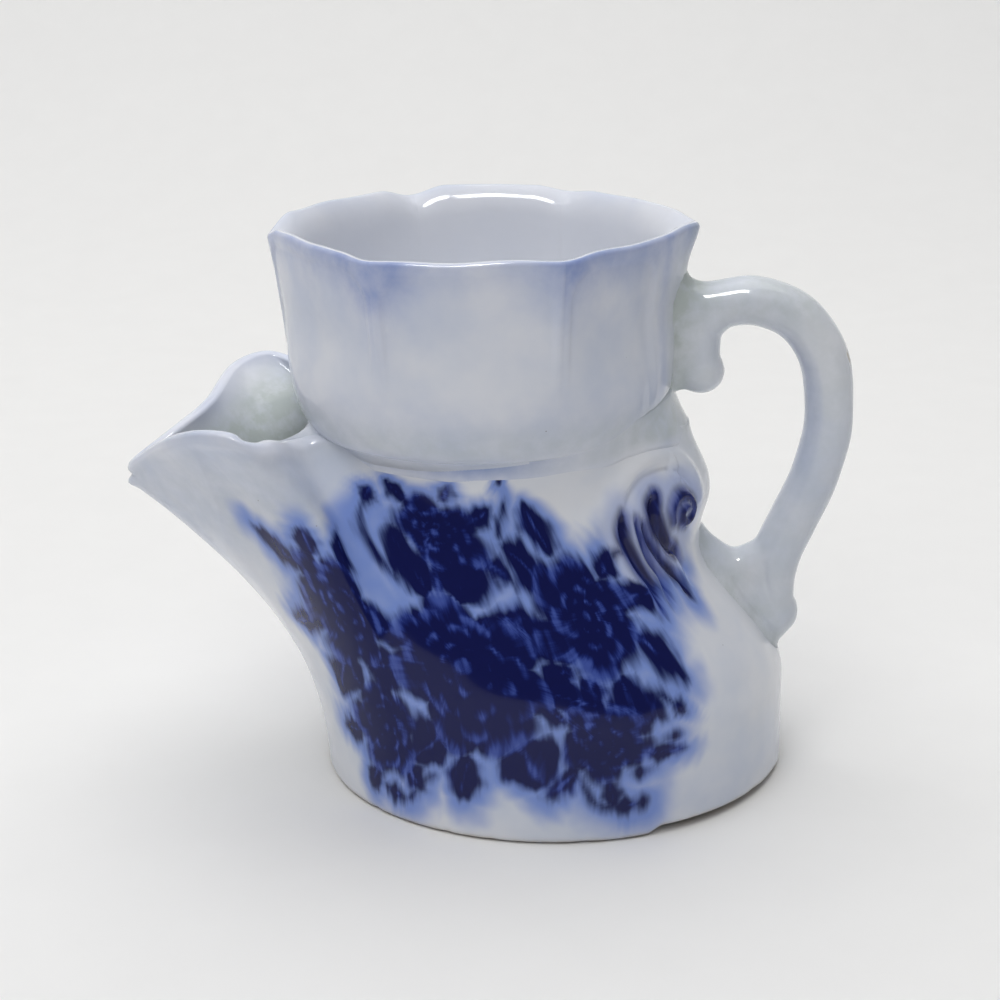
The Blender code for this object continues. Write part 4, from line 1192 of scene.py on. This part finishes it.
class Tree:  # short forms for the shader nodes that every glaze uses
    def __init__(self, material):
        material.use_nodes = True
        self.nodes = material.node_tree.nodes
        self.links = material.node_tree.links
        self.shader = self.nodes["Principled BSDF"]

    def add(self, kind, **settings):
        node = self.nodes.new(kind)
        for key, value in settings.items():
            setattr(node, key, value)
        return node

    def put(self, value, socket):
        if hasattr(value, "is_output"):
            self.links.new(value, socket)
        else:
            socket.default_value = value

    def finish(self, **values):  # sets the shader's own sockets
        for name, value in values.items():
            self.put(value, self.shader.inputs[name.replace("_", " ")])

    def field(self, name, output="Fac"):
        return self.add("ShaderNodeAttribute", attribute_name=name).outputs[output]

    def calc(self, operation, first, second=0.0, clamp=False):
        node = self.add("ShaderNodeMath", operation=operation, use_clamp=clamp)
        self.put(first, node.inputs[0])
        self.put(second, node.inputs[1])
        return node.outputs[0]

    def times(self, first, second, clamp=False):
        return self.calc("MULTIPLY", first, second, clamp)

    def soft(self, value, low, high, start=0.0, end=1.0):
        node = self.add("ShaderNodeMapRange", interpolation_type="SMOOTHSTEP")
        for socket, number in zip(node.inputs, (value, low, high, start, end)):
            self.put(number, socket)
        return node.outputs[0]

    def blend(self, share, a, b):
        node = self.add("ShaderNodeMix", data_type="RGBA")
        self.put(share, node.inputs[0])
        self.put(a if hasattr(a, "is_output") else (*a, 1), node.inputs[6])
        self.put(b if hasattr(b, "is_output") else (*b, 1), node.inputs[7])
        return node.outputs[2]

    def stretch(self, vector, scale):
        node = self.add("ShaderNodeVectorMath", operation="MULTIPLY")
        self.put(vector, node.inputs[0])
        node.inputs[1].default_value = scale
        return node.outputs[0]

    def noise(self, vector, scale, detail=2.0, rough=0.5):
        node = self.add("ShaderNodeTexNoise")
        self.put(vector, node.inputs["Vector"])
        node.inputs["Scale"].default_value = scale
        node.inputs["Detail"].default_value = detail
        node.inputs["Roughness"].default_value = rough
        return node.outputs["Fac"]

    def centred(self, value):
        return self.calc("SUBTRACT", value, 0.5)

    def place(self):
        return self.add("ShaderNodeTexCoord").outputs["Object"]


def glazeColour(tree, place):  # cool white, washed with blue and pooled green-grey where the fields say; the green-grey also paints shade on the spout and on the handle's top
    cloud = tree.noise(place, glaze["cloudScale"], 3)
    fine = tree.noise(place, glaze["fineScale"], 3, 0.6)
    # painted light: where the bowl's inside is painted lighter, most of the cool tint is left off
    coolKept = tree.soft(tree.field("paintedLightInside"), 0, 1, 1, glaze["insideCoolLeft"])
    cool = tree.times(tree.soft(cloud, *glaze["coolCloud"]), coolKept)
    colour = tree.blend(cool, glaze["white"], glaze["cool"])
    patchy = tree.calc("MULTIPLY_ADD", cloud, glaze["washCloud"])
    patchy.node.inputs[2].default_value = glaze["washLess"]
    patchy = tree.calc("ADD", patchy, tree.times(fine, glaze["washFine"]))
    wash = tree.times(tree.field("blueWash"), patchy, True)
    colour = tree.blend(wash, colour, glaze["blue"])
    pool = tree.times(tree.field("poolAndPaintedShade"), tree.soft(fine, *glaze["poolFine"]), True)
    return tree.blend(pool, colour, glaze["pool"])


def addSpecks(tree, place, colour):  # tiny dark kiln specks
    cells = tree.add("ShaderNodeTexVoronoi")
    tree.put(place, cells.inputs["Vector"])
    cells.inputs["Scale"].default_value = glaze["speckScale"]
    dot = tree.soft(cells.outputs["Distance"], *glaze["speckEdge"], 1, 0)
    some = tree.calc("GREATER_THAN", cells.outputs["Color"], glaze["speckRare"])
    return tree.blend(tree.times(tree.times(dot, some), glaze["speckDark"]), colour, glaze["speck"])


def addInk(tree, colour):  # cobalt that has run into the glaze
    wall = tree.field("wallPlace", "Vector")
    reach = tree.field("inkReach")
    calm = tree.field("inkCalm")  # painted lines of the scroll stay crisp, with little blue round them
    fan = tree.field("inkFan", "Vector")
    drift = tree.centred(tree.noise(tree.stretch(wall, glaze["driftStretch"]), 1.0))  # tall thin runs
    runs = tree.centred(tree.noise(tree.stretch(wall, glaze["runStretch"]), 1.0))  # broad drips
    cloud = tree.centred(tree.noise(wall, glaze["inkCloud"]))
    stroke = tree.centred(tree.noise(fan, glaze["strokeScale"], 2, 0.55))  # out of each flower
    flow = tree.calc("ADD", tree.field("inkFlow"), tree.times(cloud, glaze["flowCloud"]))
    halo = tree.soft(flow, *glaze["haloReach"], 0, glaze["haloMost"])
    halo = tree.times(halo, tree.soft(calm, 0, 1, 1, glaze["haloCalm"]))
    colour = tree.blend(halo, colour, glaze["halo"])
    wild = tree.soft(calm, 0, 1, *glaze["inkWild"])
    ink = tree.soft(tree.calc("ADD", reach, tree.times(drift, wild)), *glaze["inkEdge"])
    depth = tree.field("inkTone")
    parts = {"driftDepth": drift, "strokeDepth": stroke, "runDepth": runs, "cloudDepth": cloud}
    for name, field in parts.items():
        depth = tree.calc("ADD", depth, tree.times(field, glaze[name]))
    inkColour = tree.blend(tree.soft(depth, *glaze["inkDepth"]), glaze["mid"], glaze["navy"])
    return tree.blend(tree.times(ink, tree.soft(depth, *glaze["inkCover"])), colour, inkColour)


def makeGlaze(name, printed=False, bare=False):
    material = bpy.data.materials.new(name)
    tree = Tree(material)
    place = tree.place()
    colour = glazeColour(tree, place)
    if printed:
        colour = addInk(tree, colour)
    colour = addSpecks(tree, place, colour)
    smoothest = glaze["roughness"]
    rough = tree.noise(place, glaze["roughScale"], 2)
    rough = tree.soft(rough, 0.2, 0.8, smoothest, smoothest + glaze["roughMore"])
    if bare:
        patches = tree.soft(tree.noise(place, glaze["clayScale"], 3), *glaze["clayPatches"])
        worn = tree.times(tree.field("bareClay"), patches, True)
        colour = tree.blend(worn, colour, glaze["clay"])
        rough = tree.calc("ADD", rough, tree.times(worn, glaze["clayRough"]), True)
    bump = tree.add("ShaderNodeBump")
    bump.inputs["Strength"].default_value = glaze["bump"]
    bump.inputs["Distance"].default_value = glaze["bumpDepth"]
    tree.put(tree.noise(place, glaze["bumpScale"], 2), bump.inputs["Height"])
    tree.finish(Base_Color=colour, Roughness=rough, Normal=bump.outputs["Normal"])
    tree.finish(Specular_IOR_Level=glaze["specular"], Coat_Weight=glaze["coat"])
    tree.finish(Coat_Roughness=glaze["coatRoughness"])
    return material


def dress(piece, material, slot, *nodes):
    piece.data.materials.clear()
    piece.data.materials.append(material)
    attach(piece, "root")
    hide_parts(*nodes)


plainGlaze = makeGlaze("plainGlaze")
printedGlaze = makeGlaze("printedGlaze", printed=True, bare=True)
chippedGlaze = makeGlaze("chippedGlaze", bare=True)
print("glazes mixed")

body = makeChamber()
dress(body, printedGlaze, "body_front", "body_front", "body_back")
print("chamber thrown:", len(body.data.polygons), "faces")
cup = makeBowl()
dress(cup, plainGlaze, "soap_bowl", "soap_bowl")
print("bowl thrown:", len(cup.data.polygons), "faces")
roll = makeNeckSlip()
dress(roll, plainGlaze, "slip", "neck_bead_front", "neck_bead_back")
print("neck luted:", len(roll.data.polygons), "faces")
grip = makeHandle([body, cup])
dress(grip, chippedGlaze, "handle", "handle", "handle_top_pad", "handle_foot_pad")
print("handle set:", len(grip.data.polygons), "faces")
floorPlate = makeSoapFloor()
dress(floorPlate, plainGlaze, "soap_floor", "soap_floor")
bottom = makeBottomPlate()
dress(bottom, plainGlaze, "base_plate", "base_plate")
print("floor and bottom set")


# studio, in metres: a pale sweep, a broad overhead lamp, a front fill, a lamp for highlights, a dim room
studio = {
    "sweep": (0.84, 0.84, 0.835), "sweepDark": 0.97, "sweepRough": 0.85, "sweepSpecular": 0.2,
    "sweepGrain": 60,  # noise scale per metre
    "sweepLow": 0.00002, "sweepFront": 2.0, "sweepBack": 0.9, "sweepHalf": 2.2,
    "sweepTall": 1.6, "sweepBend": 0.5,
    "room": (0.86, 0.88, 0.93), "roomStrength": 0.17,
    "lamps": {  # place, target, width, height, power and colour
        "overheadLamp": ((-0.18, 0.3, 1.7), (-0.03, 0.12, 0.0), 2.2, 1.9, 30, (1.0, 0.99, 0.975)),
        "frontLamp": ((-0.25, -1.1, 1.25), (0, 0, 0.06), 1.1, 0.8, 6.6, (1.0, 1.0, 1.0)),
        "windowLamp": ((-0.06, -0.40, 0.98), (0, 0, 0.08), 0.28, 0.17, 7.0, (1.0, 1.0, 1.0)),
    },
}


def makeSweep():
    s = studio
    clearSelection()
    bpy.ops.mesh.primitive_grid_add(x_subdivisions=8, y_subdivisions=60, size=1)
    sweep = bpy.context.object
    sweep.name = "studioSweep"
    places = readPlaces(sweep) * mm
    run = (places[:, 1] + 0.5) * (s["sweepBack"] + s["sweepFront"] + s["sweepTall"])
    bend = s["sweepBend"]
    flat = s["sweepFront"] + s["sweepBack"] - bend
    arc = np.clip((run - flat) / (bend * np.pi / 2), 0, 1) * np.pi / 2
    y = np.minimum(run, flat) - s["sweepFront"] + bend * np.sin(arc)
    z = bend * (1 - np.cos(arc)) + np.maximum(run - flat - bend * np.pi / 2, 0) - s["sweepLow"]
    spots = np.stack([places[:, 0] * 2 * s["sweepHalf"], y, z], -1)
    sweep.data.vertices.foreach_set("co", spots.ravel())
    sweep.data.update()
    pick(sweep)
    bpy.ops.object.shade_smooth()
    material = bpy.data.materials.new("sweepPaper")
    tree = Tree(material)
    darker = tuple(s["sweepDark"] * value for value in s["sweep"])
    paper = tree.blend(tree.noise(tree.place(), s["sweepGrain"], 3), s["sweep"], darker)
    tree.finish(Base_Color=paper, Roughness=s["sweepRough"], Specular_IOR_Level=s["sweepSpecular"])
    sweep.data.materials.append(material)


def addLamp(name, place, target, wide, tall, power, colour):
    clearSelection()
    bpy.ops.object.light_add(type="AREA", location=place)
    lamp = bpy.context.object
    lamp.name = name
    lamp.data.shape = "RECTANGLE"
    lamp.data.size = wide
    lamp.data.size_y = tall
    lamp.data.energy = power
    lamp.data.color = colour
    aim = Vector(target) - Vector(place)
    lamp.rotation_euler = aim.to_track_quat("-Z", "Y").to_euler()
    return lamp


makeSweep()
lamps = {name: addLamp(name, *values) for name, values in studio["lamps"].items()}
lamps["frontLamp"].visible_glossy = False  # soft fill that leaves the dark print clear
lamps["windowLamp"].visible_diffuse = False  # only mirrored in the glaze
world = bpy.data.worlds.new("studioRoom")
bpy.context.scene.world = world
world.use_nodes = True
room = world.node_tree.nodes["Background"]
room.inputs["Color"].default_value = (*studio["room"], 1)
room.inputs["Strength"].default_value = studio["roomStrength"]
bpy.context.scene.view_settings.view_transform = "Standard"
print("studio lit")
